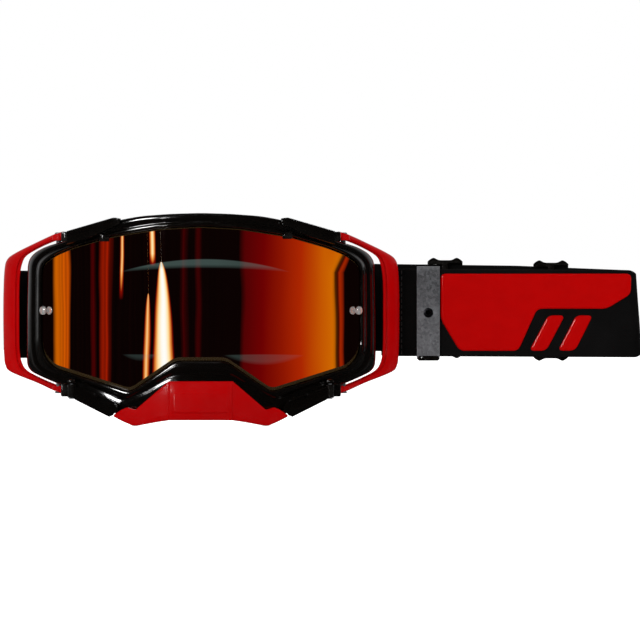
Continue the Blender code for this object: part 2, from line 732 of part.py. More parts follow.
# ---------------------------------------------------------------- strap

def band_point(x, y, rise):
    """A path point of the band: its place and its lower and upper edges."""
    middle = height_at(rise, x)
    return x, y, middle - STRAP_HEIGHT / 2.0, middle + STRAP_HEIGHT / 2.0


def strap_path():
    """The band from the right outrigger, round the fold and back to the left outrigger."""
    path = [band_point(x, STRAP_FRONT_Y, STRAP_FRONT_RISE)
            for x in (STRAP_START_X, 130.0, 170.0)]
    radius = (STRAP_REAR_Y - STRAP_FRONT_Y) / 2.0
    for step in range(9):
        angle = math.pi * step / 8.0
        path.append(band_point(STRAP_FOLD_X + radius * math.sin(angle),
                               STRAP_FRONT_Y + radius * (1.0 - math.cos(angle)), STRAP_RISE))
    path += [band_point(x, STRAP_REAR_Y, STRAP_RISE)
             for x in (180.0, 150.0, 115.0, 80.0, 0.0, -74.0)]
    path.append(band_point(-78.5, STRAP_REAR_Y - 1.2, STRAP_RISE))
    path.append(band_point(-83.0, STRAP_REAR_Y - 4.2, STRAP_RISE))
    return path


def loop_path(side):
    """The webbing that wraps an outrigger's strap bar, ending in a short leaf."""
    middle = 51.1 if side > 0 else 50.1
    low = middle - STRAP_HEIGHT / 2.0
    high = middle + STRAP_HEIGHT / 2.0
    radius = STRAP_BAR_RADIUS + GAP + 0.1 + LOOP_THICKNESS / 2.0
    path = []
    if side > 0:
        path.append((93.0, STRAP_BAR_Y + radius, low, high))
        start, sweep = 90.0, 230.0
    else:
        path.append((-84.6, STRAP_BAR_Y + radius + 3.0, low, high))
        start, sweep = 62.0, 230.0
    for step in range(13):
        angle = math.radians(start + sweep * step / 12.0)
        path.append((side * STRAP_BAR_X + radius * math.cos(angle),
                     STRAP_BAR_Y + radius * math.sin(angle), low, high))
    return path


def build_keeper(metal, dark_metal):
    """The folded metal keeper round the front layer, and its eyelet."""
    middle = height_at(STRAP_FRONT_RISE, sum(KEEPER_X) / 2.0)
    half_y = STRAP_THICKNESS / 2.0 + KEEPER_CLEARANCE
    half_z = STRAP_HEIGHT / 2.0 + KEEPER_CLEARANCE + 0.1
    outer = box_mesh(
        (KEEPER_X[0], STRAP_FRONT_Y - half_y - KEEPER_WALL, middle - half_z - KEEPER_WALL),
        (KEEPER_X[1], STRAP_FRONT_Y + half_y + KEEPER_WALL, middle + half_z + KEEPER_WALL))
    centre = (sum(KEEPER_X) / 2.0, STRAP_FRONT_Y, middle)
    keeper = make_object("strap_keeper", outer, metal, centre)
    inner = box_mesh((KEEPER_X[0] - 1.0, STRAP_FRONT_Y - half_y, middle - half_z),
                     (KEEPER_X[1] + 1.0, STRAP_FRONT_Y + half_y, middle + half_z))
    boolean(keeper, inner, "DIFFERENCE")
    hole = EYELET_RADIUS + GAP
    bore = [(-half_y - KEEPER_WALL - 2.0, hole), (-half_y + 0.2, hole)]
    boolean(keeper, disc_stack_mesh(centre, (0, 1, 0), bore), "DIFFERENCE")
    front = -half_y - KEEPER_WALL
    sections = []
    segments = 24
    for step in range(segments):
        angle = 2.0 * math.pi * step / segments
        section = []
        for radius, depth in ((EYELET_BORE, front - 0.8), (EYELET_FLANGE, front - 0.8),
                              (EYELET_FLANGE, front - GAP), (EYELET_RADIUS, front - GAP),
                              (EYELET_RADIUS, -half_y), (EYELET_BORE, -half_y)):
            section.append((centre[0] + radius * math.cos(angle), centre[1] + depth,
                            centre[2] + radius * math.sin(angle)))
        sections.append(section)
    make_object("keeper_eyelet", loft_mesh(sections, closed=True), dark_metal, centre)


def print_panels():
    """Outlines of the raised print: an angled block with a bar, and two slanted stripes."""
    left, right = PRINT_X
    low, high = PRINT_Z
    bar = low + 20.0
    slant = 9.0
    panel = [(left, high), (right, high), (right - 1.0, bar + 7.0), (right - 13.0, bar),
             (left + 46.0, bar), (left + 46.0 - slant, low), (left + slant, low),
             (left, low + 15.0)]
    stripes = []
    for start in (left + 51.0, left + 64.0):
        stripes.append([(start, bar - 3.0), (start + 8.0, bar - 3.0),
                        (start + 8.0 - slant, low), (start - slant, low)])
    return panel, stripes


def build_print(look):
    """The raised silicone print on the strap's front layer."""
    panel, stripes = print_panels()
    back = STRAP_FRONT_Y - STRAP_THICKNESS / 2.0 - GAP
    front = back - PRINT_THICKNESS
    named = [("strap_print_panel", panel)]
    named += [(f"strap_print_stripe_{index + 1}", line) for index, line in enumerate(stripes)]
    for name, outline in named:
        make_object(name, plate_mesh(outline, lambda x: front, lambda x: back), look)


def build_grips(look):
    """Two silicone lines on the inside of the strap that stop it slipping."""
    thickness, height = GRIP_SIZE
    start = STRAP_FRONT_Y + STRAP_THICKNESS / 2.0 + GAP
    for level, z in GRIP_Z.items():
        low = (120.0, start, z - height / 2.0)
        high = (196.0, start + thickness, z + height / 2.0)
        make_object(f"strap_grip_{level}", box_mesh(low, high), look)


def build_adjuster(label, look, webbing):
    """A three-bar slide adjuster on the rear layer, with the strap end sewn round a bar."""
    x = ADJUSTER_X[label]
    z = ADJUSTER_Z[label]
    half = ADJUSTER_WIDTH / 2.0
    opening = ADJUSTER_OPENING / 2.0
    near = ADJUSTER_FRONT_Y[0]
    far = ADJUSTER_REAR_Y[1]
    top = box_mesh((x - half, near, z + opening), (x + half, far, z + opening + ADJUSTER_RAIL))
    origin = (x, STRAP_REAR_Y, z)
    body = make_object(f"strap_adjuster_{label}", top, look, origin)
    low = box_mesh((x - half, near, z - opening - ADJUSTER_RAIL), (x + half, far, z - opening))
    boolean(body, low, "UNION")
    reach = opening + 1.0
    bars = [(x - half, ADJUSTER_BAR, ADJUSTER_REAR_Y),
            (x + half - ADJUSTER_BAR, ADJUSTER_BAR, ADJUSTER_REAR_Y),
            (x - 1.5, 3.0, ADJUSTER_FRONT_Y)]
    for start, width, (front, back) in bars:
        bar = box_mesh((start, front, z - reach), (start + width, back, z + reach))
        boolean(body, bar, "UNION")
    make_object(f"strap_tail_{label}", tail_mesh(x - half, z), webbing, origin)


def tail_mesh(bar_x, z):
    """Webbing folded round an adjuster's bar, with its two leaves pointing away from it."""
    front = ADJUSTER_REAR_Y[0] - GAP - TAIL_THICKNESS / 2.0
    back = ADJUSTER_REAR_Y[1] + GAP + TAIL_THICKNESS / 2.0
    radius = (back - front) / 2.0
    middle = (back + front) / 2.0
    bend = bar_x + ADJUSTER_BAR + 3.0 * GAP + TAIL_THICKNESS / 2.0 - radius
    low = z - STRAP_HEIGHT / 2.0
    high = z + STRAP_HEIGHT / 2.0
    path = [(bar_x - TAIL_LENGTH, front, low, high)]
    for step in range(9):
        angle = math.radians(-90.0 + 180.0 * step / 8.0)
        path.append((bend + radius * math.cos(angle), middle + radius * math.sin(angle),
                     low, high))
    path.append((bar_x - TAIL_LENGTH, back, low, high))
    return ribbon_mesh(path, TAIL_THICKNESS)


# ---------------------------------------------------------------- assembly

def main():
    """Build every piece."""
    for item in list(bpy.data.objects):
        bpy.data.objects.remove(item)
    black = material("black_gloss_plastic", (0.012, 0.012, 0.013), 0.12)
    red = material("red_gloss_plastic", (0.42, 0.004, 0.004), 0.2)
    lens_look = material("mirror_lens", (0.55, 0.08, 0.01), 0.04, metallic=0.9)
    clear = material("clear_plastic", (0.9, 0.9, 0.9), 0.1, transmission=0.9)
    foam = material("black_foam", (0.02, 0.02, 0.02), 0.95)
    fleece = material("black_fleece", (0.05, 0.05, 0.055), 1.0)
    webbing = material("black_webbing", (0.012, 0.011, 0.011), 0.85)
    silicone = material("red_silicone", (0.4, 0.0, 0.0), 0.3)
    grip = material("clear_silicone", (0.25, 0.25, 0.25), 0.4)
    steel = material("galvanised_steel", (0.22, 0.24, 0.26), 0.45, metallic=0.9)
    dark_steel = material("dark_steel", (0.05, 0.05, 0.055), 0.35, metallic=0.9)

    build_frame(black)
    build_face_foam(foam, fleece)
    build_vent_foam("vent_foam_top", -58.0, 58.0, upper_edge, -1.0, foam)
    build_vent_foam("vent_foam_lower_left", -62.0, -44.0, lower_edge, 1.0, foam)
    build_vent_foam("vent_foam_lower_right", 44.0, 62.0, lower_edge, 1.0, foam)
    build_lens(lens_look)
    build_gasket(foam)
    build_guard(red)
    for side, label in ((-1, "left"), (1, "right")):
        build_post(side, label, clear, clear)
        build_peg(side, label, black)
        build_bracket(side, label, black)
        build_latch(side, label, black)
        build_latch_pin(side, label, steel)
        build_outrigger(side, label, red)
        build_hinge_pins(side, label, steel)
        make_object(f"strap_loop_{label}", ribbon_mesh(loop_path(side), LOOP_THICKNESS),
                    webbing, (side * HINGE_X, HINGE_Y, UPPER_KNUCKLE_Z[0]))
        build_adjuster(label, black, webbing)
    make_object("strap_band", ribbon_mesh(strap_path(), STRAP_THICKNESS), webbing)
    build_keeper(steel, dark_steel)
    build_print(silicone)
    build_grips(grip)


main()
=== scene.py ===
"""Looks of the motocross goggles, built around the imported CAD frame.

Lengths are in millimetres until a mesh is made, and in metres in the studio. -Y is the front,
+Z is up, and left and right are as seen from the front. Outlines are drawn in X and Z, as the
right half only where both halves are the same. skin_y() gives the depth of a surface that lies
in front of the lens cylinder.
"""

import math

import bmesh
import bpy
import numpy as np
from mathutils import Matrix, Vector, noise


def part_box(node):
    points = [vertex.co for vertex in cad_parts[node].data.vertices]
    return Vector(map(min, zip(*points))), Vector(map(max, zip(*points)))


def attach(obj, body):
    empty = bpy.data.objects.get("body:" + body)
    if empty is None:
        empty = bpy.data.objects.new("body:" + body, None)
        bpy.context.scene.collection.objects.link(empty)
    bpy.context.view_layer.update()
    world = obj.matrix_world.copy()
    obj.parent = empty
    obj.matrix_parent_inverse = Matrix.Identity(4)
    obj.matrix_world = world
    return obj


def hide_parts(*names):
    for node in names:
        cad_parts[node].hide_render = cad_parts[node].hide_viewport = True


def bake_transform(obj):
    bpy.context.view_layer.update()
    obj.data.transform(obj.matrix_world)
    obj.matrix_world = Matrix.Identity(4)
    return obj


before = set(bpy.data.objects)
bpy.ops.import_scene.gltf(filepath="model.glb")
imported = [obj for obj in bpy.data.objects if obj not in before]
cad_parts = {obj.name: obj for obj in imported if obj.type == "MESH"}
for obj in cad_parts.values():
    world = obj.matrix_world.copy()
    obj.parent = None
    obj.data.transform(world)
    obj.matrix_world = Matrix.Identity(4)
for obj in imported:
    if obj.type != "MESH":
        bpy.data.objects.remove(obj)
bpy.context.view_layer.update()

MM = 0.001
SIDES = ((-1, "left"), (1, "right"))

# ---------------------------------------------------------------- sizes

LENS_RADIUS = 95.0
LENS_FRONT_Y = (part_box("lens")[0] / MM).y
LENS_THICKNESS = 1.5
FACE_RADIUS = 108.0
FACE_Y = 22.0
RING_CENTRE_Z = 52.0

FRAME_HALF = [
    (0.0, 98.2), (14.0, 97.8), (28.0, 96.8), (35.5, 95.5), (39.5, 94.6), (52.0, 88.8),
    (66.0, 84.7), (74.2, 82.2), (79.6, 79.2), (82.4, 75.2), (83.0, 50.0), (83.0, 30.0),
    (82.6, 25.6), (80.6, 22.9), (75.6, 20.5), (69.8, 18.0), (65.5, 16.5), (50.0, 9.6),
    (43.5, 4.4), (40.0, 3.0), (32.5, 2.6), (15.5, 12.0), (0.0, 13.0),
]
LENS_HALF = [
    (0.0, 91.7), (19.0, 90.6), (42.0, 87.0), (60.0, 81.9), (68.2, 78.6), (74.2, 74.2),
    (75.3, 70.5), (75.3, 35.5), (73.9, 30.0), (69.3, 24.9), (33.4, 13.6), (12.0, 28.3),
    (0.0, 28.3),
]
REAR_OUTER_HALF = [
    (0.0, 95.5), (28.0, 93.5), (52.0, 86.5), (66.0, 80.5), (75.0, 73.5), (78.2, 62.0),
    (78.6, 45.0), (77.0, 32.0), (71.0, 24.0), (56.0, 15.0), (42.0, 10.0), (33.0, 9.5),
    (24.0, 18.0), (13.0, 31.0), (0.0, 34.0),
]
REAR_INNER_HALF = [
    (0.0, 84.5), (28.0, 82.5), (50.0, 76.5), (60.0, 71.0), (65.0, 63.0), (66.0, 50.0),
    (65.5, 38.0), (60.0, 31.0), (50.0, 26.0), (42.0, 23.0), (34.0, 22.5), (27.0, 30.0),
    (15.0, 42.0), (0.0, 44.5),
]
SEAT_OFFSET = -3.7
STRAP_HEIGHT = 41.6
STRAP_THICKNESS = 1.5
STRAP_FRONT_Y = 64.5
STRAP_REAR_Y = 72.0
STRAP_FOLD_X = 203.2
STRAP_RISE = [(-83.0, 50.2), (80.0, 53.5), (150.0, 52.6), (180.0, 51.4), (203.2, 50.5)]
STRAP_FRONT_RISE = [(89.0, 51.1), (203.2, 50.5)]
STRAP_BAR = (89.0, 62.0)
STRAP_BAR_RADIUS = 1.5
STRAP_BAR_LUGS = ((26.5, 28.9), (72.6, 75.0))
RIGHT_END_Z = 51.1
LEFT_END_Z = 50.2
RIGHT_SEAM_X = 106.0
LEFT_SEAM_X = -46.0
SEAM_STITCHES = 15
SEAM_MARGIN = 1.8
LATCH_HINGE = (61.3, 11.6)
OUTRIGGER_HINGE = (67.5, 24.3)
KNUCKLES = ((85.3, 89.4), (12.4, 16.0))
POST_X = 71.4
POST_Z = 52.0
PEG_X = 18.0
PEG_Z = 13.2
KEEPER_ENDS = (102.6, 113.5)
KEEPER_Z = 50.97

# The studio is in metres.
FLOOR_Z = -0.0029
CAMERA_PLACE = (0.0565, -12.0, 0.0475)
OBJECT_MIDDLE = (0.05, 0.05, 0.05)


# ---------------------------------------------------------------- shader helpers

class Tree:
    """A short way to wire a node tree."""

    def __init__(self, tree):
        self.tree = tree

    def add(self, kind, **settings):
        node = self.tree.nodes.new(kind)
        for key, value in settings.items():
            setattr(node, key, value)
        return node

    def link(self, source, target):
        self.tree.links.new(source, target)

    def put(self, value, socket):
        if isinstance(value, bpy.types.NodeSocket):
            self.link(value, socket)
        else:
            socket.default_value = value

    def calc(self, operation, first, second=0.0, third=0.0, clamp=False):
        node = self.add("ShaderNodeMath", operation=operation, use_clamp=clamp)
        for index, value in enumerate((first, second, third)):
            self.put(value, node.inputs[index])
        return node.outputs[0]

    def times(self, first, second):
        return self.calc("MULTIPLY", first, second)

    def split(self, vector):
        """The x, y and z of a vector."""
        node = self.add("ShaderNodeSeparateXYZ")
        self.link(vector, node.inputs[0])
        return tuple(node.outputs)

    def remap(self, value, low, high, to_low=0.0, to_high=1.0):
        node = self.add("ShaderNodeMapRange")
        self.put(value, node.inputs["Value"])
        for key, number in zip(("From Min", "From Max", "To Min", "To Max"),
                               (low, high, to_low, to_high)):
            self.put(number, node.inputs[key])
        return node.outputs["Result"]

    def ramp(self, value, stops, interpolation="LINEAR"):
        node = self.add("ShaderNodeValToRGB")
        node.color_ramp.interpolation = interpolation
        elements = node.color_ramp.elements
        while len(elements) < len(stops):
            elements.new(0.5)
        for element, (position, colour) in zip(elements, stops):
            element.position = position
            element.color = (*colour, 1.0)
        self.put(value, node.inputs["Fac"])
        return node.outputs["Color"]

    def mix(self, factor, first, second, blend="MIX"):
        """A blend of two colours."""
        node = self.add("ShaderNodeMix", data_type="RGBA", blend_type=blend)
        self.put(factor, node.inputs["Factor"])
        for value, socket in ((first, node.inputs["A"]), (second, node.inputs["B"])):
            if not isinstance(value, bpy.types.NodeSocket):
                value = (*value, 1.0)
            self.put(value, socket)
        return node.outputs["Result"]

    def choose(self, factor, first, second):
        """A blend of two numbers."""
        node = self.add("ShaderNodeMix")
        for value, key in ((factor, "Factor"), (first, "A"), (second, "B")):
            self.put(value, node.inputs[key])
        return node.outputs["Result"]

    def shade(self, value, low, high, dark, light, most=1.0):
        """A colour that goes from dark to light as a value goes from low to high."""
        return self.mix(self.remap(value, low, high, 0.0, most), dark, light)


class Nodes(Tree):
    """A material's node tree, with textures in millimetres of the piece."""

    def __init__(self, name):
        self.material = bpy.data.materials.new(name)
        self.material.use_nodes = True
        super().__init__(self.material.node_tree)
        self.shader = self.tree.nodes["Principled BSDF"]

    def place(self, scale=(1.0, 1.0, 1.0)):
        """Object coordinates in millimetres, stretched by a scale."""
        coordinates = self.add("ShaderNodeTexCoord")
        mapping = self.add("ShaderNodeMapping")
        mapping.inputs["Scale"].default_value = [value / MM for value in scale]
        self.link(coordinates.outputs["Object"], mapping.inputs["Vector"])
        return mapping.outputs["Vector"]

    def axes(self):
        """Object coordinates in millimetres as separate x, y and z."""
        return self.split(self.place())

    def noise(self, scale, detail=2.0, stretch=(1.0, 1.0, 1.0), roughness=0.5):
        node = self.add("ShaderNodeTexNoise")
        for key, value in (("Scale", scale), ("Detail", detail), ("Roughness", roughness)):
            node.inputs[key].default_value = value
        self.link(self.place(stretch), node.inputs["Vector"])
        return node.outputs["Fac"]

    def cells(self, scale, output="Distance"):
        node = self.add("ShaderNodeTexVoronoi")
        node.inputs["Scale"].default_value = scale
        self.link(self.place(), node.inputs["Vector"])
        return node.outputs[output]

    def bump(self, height, distance, strength=1.0, after=None):
        node = self.add("ShaderNodeBump")
        node.inputs["Strength"].default_value = strength
        node.inputs["Distance"].default_value = distance * MM
        self.put(height, node.inputs["Height"])
        if after is not None:
            self.link(after, node.inputs["Normal"])
        return node.outputs["Normal"]

    def finish(self, **inputs):
        """Fill the shader's inputs, by their own names or these shorter ones."""
        names = {"colour": "Base Color", "coat": "Coat Weight", "sheen": "Sheen Weight",
                 "specular": "Specular IOR Level", "transmission": "Transmission Weight",
                 "ior": "IOR", "emission": "Emission Color"}
        for key, value in inputs.items():
            if isinstance(value, tuple) and len(value) == 3:
                value = (*value, 1.0)
            self.put(value, self.shader.inputs[names.get(key, key.replace("_", " ").title())])
        return self.material


def edge_wear(nodes):
    """A mask that is 1 along the piece's sharpest outer edges."""
    return nodes.remap(nodes.add("ShaderNodeNewGeometry").outputs["Pointiness"], 0.52, 0.62)


def scaled(colour, factor):
    """A colour made lighter or darker, at most white."""
    return tuple(min(1.0, value * factor) for value in colour)


# ---------------------------------------------------------------- materials

def moulded_plastic(name, colour, worn, base_roughness, coat, specular=0.45):
    """Glossy moulded plastic: faint flow ripple, handling smudges, scratches and worn edges."""
    nodes = Nodes(name)
    cloud = nodes.noise(0.05, 3.0)
    smudge = nodes.noise(0.12, 5.0, roughness=0.65)
    grain = nodes.noise(6.0, 2.0)
    scratch = nodes.noise(1.3, 6.0, stretch=(0.12, 0.12, 2.4), roughness=0.8)
    shade = nodes.shade(cloud, 0.35, 0.65, colour, scaled(colour, 0.8), 0.5)
    wear = nodes.times(edge_wear(nodes), nodes.remap(smudge, 0.4, 0.7, 0.0, 0.45))
    shade = nodes.mix(wear, shade, worn)
    rough = nodes.remap(smudge, 0.35, 0.75, base_roughness, base_roughness + 0.13)
    rough = nodes.calc("ADD", rough, nodes.remap(scratch, 0.62, 0.8, 0.0, 0.12), clamp=True)
    normal = nodes.bump(cloud, 0.25, 0.12)
    normal = nodes.bump(grain, 0.012, 0.25, after=normal)
    return nodes.finish(colour=shade, roughness=rough, normal=normal, coat=coat,
                        coat_roughness=0.06, specular=specular)


def soft_touch_rubber(name, colour, roughness):
    """Matt moulded rubber with a fine grain."""
    nodes = Nodes(name)
    grain = nodes.cells(2.2)
    cloud = nodes.noise(0.2, 3.0)
    shade = nodes.shade(cloud, 0.3, 0.7, colour, scaled(colour, 1.5))
    return nodes.finish(colour=shade, roughness=roughness, normal=nodes.bump(grain, 0.05, 0.4),
                        specular=0.3)


def wave(nodes, value, length):
    """A sine wave along a value."""
    return nodes.calc("SINE", nodes.times(value, 2.0 * math.pi / length))


RIB = 1.15
PICK = 1.5


def webbing_material(name, dark, light):
    """Woven elastic: ribs that run along the strap, crossed by a fine pick."""
    nodes = Nodes(name)
    x, y, z = nodes.axes()
    turn = 2.0 * math.pi
    rib = wave(nodes, z, RIB)
    shift = nodes.times(nodes.calc("SIGN", rib), turn / 4.0)
    along = nodes.calc("ADD", nodes.times(nodes.calc("ADD", x, y), turn / PICK), shift)
    over = nodes.remap(nodes.calc("SINE", along), -1.0, 1.0, 0.35, 1.0)
    weave = nodes.times(nodes.calc("POWER", nodes.calc("ABSOLUTE", rib), 0.6), over)
    fuzz = nodes.noise(5.0, 3.0, stretch=(0.35, 1.0, 1.5))
    cloud = nodes.noise(0.06, 3.0)
    mixed = nodes.times(weave, nodes.remap(fuzz, 0.3, 0.7, 0.55, 1.0))
    shade = nodes.mix(mixed, dark, light)
    shade = nodes.shade(cloud, 0.35, 0.7, shade, scaled(light, 1.7), 0.3)
    normal = nodes.bump(fuzz, 0.05, 0.4, after=nodes.bump(weave, 0.16, 0.75))
    return nodes.finish(colour=shade, roughness=nodes.remap(mixed, 0.0, 1.0, 0.95, 0.72),
                        normal=normal, sheen=0.015, sheen_roughness=0.45, specular=0.1)


def print_material():
    """Thick glossy silicone print: poured surface, faint weave showing through."""
    nodes = Nodes("red_silicone")
    x, _, z = nodes.axes()
    weave = nodes.times(wave(nodes, z, RIB), wave(nodes, x, PICK))
    pour = nodes.noise(0.16, 3.0, stretch=(0.6, 1.0, 1.0))
    dust = nodes.noise(3.0, 4.0, roughness=0.7)
    shade = nodes.shade(pour, 0.35, 0.65, (0.48, 0.0003, 0.0003), (0.42, 0.0002, 0.0002), 0.5)
    shade = nodes.mix(nodes.times(edge_wear(nodes), 0.25), shade, (0.62, 0.006, 0.005))
    normal = nodes.bump(weave, 0.02, 0.3, after=nodes.bump(pour, 0.5, 0.25))
    return nodes.finish(colour=shade, roughness=nodes.remap(dust, 0.3, 0.75, 0.08, 0.17),
                        normal=normal, coat=0.03, coat_roughness=0.08, specular=0.15)


def galvanised_material(name, dark, light, roughness=0.42, metallic=1.0):
    """Galvanised sheet: spangle, drawing lines, a few handling scratches and a painted shade that
    darkens it towards the top.
    """
    nodes = Nodes(name)
    spangle = nodes.cells(0.9, output="Color")
    speckle = nodes.noise(2.6, 5.0, roughness=0.75)
    lines = nodes.noise(3.2, 4.0, stretch=(1.0, 1.0, 0.05), roughness=0.7)
    tone = nodes.calc("ADD", nodes.times(spangle, 0.35), nodes.times(speckle, 0.75))
    _, _, z = nodes.axes()
    # Painted shade: the metal is made darker towards the top.
    tone = nodes.calc("SUBTRACT", tone, nodes.remap(z, 38.0, 70.0, 0.0, 0.22))
    shade = nodes.shade(tone, 0.2, 0.8, dark, light)
    shade = nodes.mix(nodes.times(edge_wear(nodes), 0.5), shade, scaled(light, 1.9))
    rough = nodes.remap(lines, 0.3, 0.7, roughness - 0.08, roughness + 0.14)
    normal = nodes.bump(speckle, 0.015, 0.35, after=nodes.bump(lines, 0.02, 0.35))
    return nodes.finish(colour=shade, roughness=rough, metallic=metallic, normal=normal,
                        anisotropic=0.35)


def foam_material(name, dark, light, pore):
    """Open-cell foam: pores of two sizes."""
    nodes = Nodes(name)
    both = nodes.calc("ADD", nodes.cells(pore), nodes.times(nodes.cells(pore * 2.7), 0.5))
    return nodes.finish(colour=nodes.shade(both, 0.2, 0.9, dark, light), roughness=0.95,
                        normal=nodes.bump(both, 0.35, 0.8), specular=0.15)


def fleece_material():
    """Brushed fleece: short fibres with a soft sheen."""
    nodes = Nodes("face_fleece")
    fibre = nodes.noise(7.0, 4.0, stretch=(1.0, 0.6, 0.4), roughness=0.75)
    tuft = nodes.noise(1.1, 4.0, roughness=0.6)
    mixed = nodes.times(fibre, nodes.remap(tuft, 0.3, 0.7, 0.7, 1.3))
    shade = nodes.shade(mixed, 0.25, 0.75, (0.008, 0.008, 0.009), (0.05, 0.05, 0.054))
    normal = nodes.bump(fibre, 0.15, 0.7, after=nodes.bump(tuft, 0.4, 0.6))
    return nodes.finish(colour=shade, roughness=1.0, normal=normal, sheen=0.25,
                        sheen_roughness=0.4, specular=0.1)


def clear_material(name, tint):
    """Clear moulded plastic with a few flow marks."""
    nodes = Nodes(name)
    rough = nodes.remap(nodes.noise(3.0, 4.0), 0.3, 0.7, 0.04, 0.22)
    return nodes.finish(colour=tint, roughness=rough, transmission=0.75, ior=1.49,
                        normal=nodes.bump(nodes.noise(0.7, 3.0), 0.1, 0.3))


def thread_material():
    """Bonded polyester thread."""
    nodes = Nodes("black_thread")
    twist = nodes.noise(9.0, 2.0, stretch=(1.0, 1.0, 0.4))
    shade = nodes.mix(twist, (0.004, 0.004, 0.004), (0.016, 0.016, 0.017))
    return nodes.finish(colour=shade, roughness=0.6, normal=nodes.bump(twist, 0.05, 0.5),
                        sheen=0.03)


def srgb(red, green, blue):
    """A colour written in 8-bit display values, as linear light."""
    return tuple((value / 255.0) ** 2.2 for value in (red, green, blue))


def coating(level):
    """The mirror coating's colour for a light level from 0 to 1: it turns dim light red."""
    black, wine, red = srgb(15, 5, 5), srgb(70, 5, 10), srgb(115, 0, 0)
    orange, amber = srgb(175, 45, 0), srgb(205, 105, 5)
    shades = [black, wine, red, orange, amber]
    place = level * (len(shades) - 1)
    index = min(int(place), len(shades) - 2)
    return tuple(Vector(shades[index]).lerp(Vector(shades[index + 1]), place - index))


def mirror_sweep():
    """Colour stops for the painted reflection in the lens, by bearing in degrees from straight
    ahead.

    The studio is made up: it is dark, with a wide screen on one side that brightens evenly
    towards its far end, and narrow strips elsewhere.  Each light fades out over its blur.
    """
    blur = 2.0
    longest_step = 12.0
    lights = [
        # first bearing, last bearing, level at the first, level at the last
        (-93, -84, 0.95, 0.85), (-65, -65, 0.3, 0.3), (-58, -55, 0.6, 0.6),
        (-10, -10, 0.2, 0.2), (-2, -2, 0.25, 0.25), (25, 84, 0.3, 1.0), (89, 89, 0.75, 0.75),
    ]
    stops = [(-180.0, coating(0.0))]
    for first, last, near, far in lights:
        stops.append((first - blur, coating(0.0)))
        pieces = math.ceil((last - first) / longest_step)
        for piece in range(pieces + 1):
            share = piece / max(1, pieces)
            stops.append((first + share * (last - first), coating(near + share * (far - near))))
        stops.append((last + blur, coating(0.0)))
    return stops


def painted_streak(nodes, bearing, height, centre, width, low, high, lean=0.0, sharp=2.2, fade=2.0):
    """A painted highlight: an upright light painted into the lens, which closes to a point at its
    top.

    It leans by some degrees over its height and fades in over its lowest millimetres.
    """
    rise = nodes.remap(height, low, high)
    inside = nodes.calc("SUBTRACT", 1.0, nodes.calc("POWER", rise, sharp), clamp=True)
    reach = nodes.times(nodes.calc("SQRT", inside), width)
    middle = nodes.calc("ADD", centre, nodes.times(rise, lean))
    off = nodes.calc("ABSOLUTE", nodes.calc("SUBTRACT", bearing, middle))
    body = nodes.calc("SUBTRACT", 1.0,
                      nodes.calc("DIVIDE", off, nodes.calc("ADD", reach, 0.01)), clamp=True)
    return nodes.times(body, nodes.remap(height, low, low + fade))


def crescent(nodes, across, height, upper, lower):
    """A mask between two parabolas, each given as its height at the middle and its bend."""
    square = nodes.times(across, across)
    edges = [nodes.calc("MULTIPLY_ADD", square, bend, level) for level, bend in (upper, lower)]
    below = nodes.remap(nodes.calc("SUBTRACT", edges[0], height), -0.1, 0.4)
    above = nodes.remap(nodes.calc("SUBTRACT", height, edges[1]), -0.4, 1.5)
    return nodes.times(below, above)


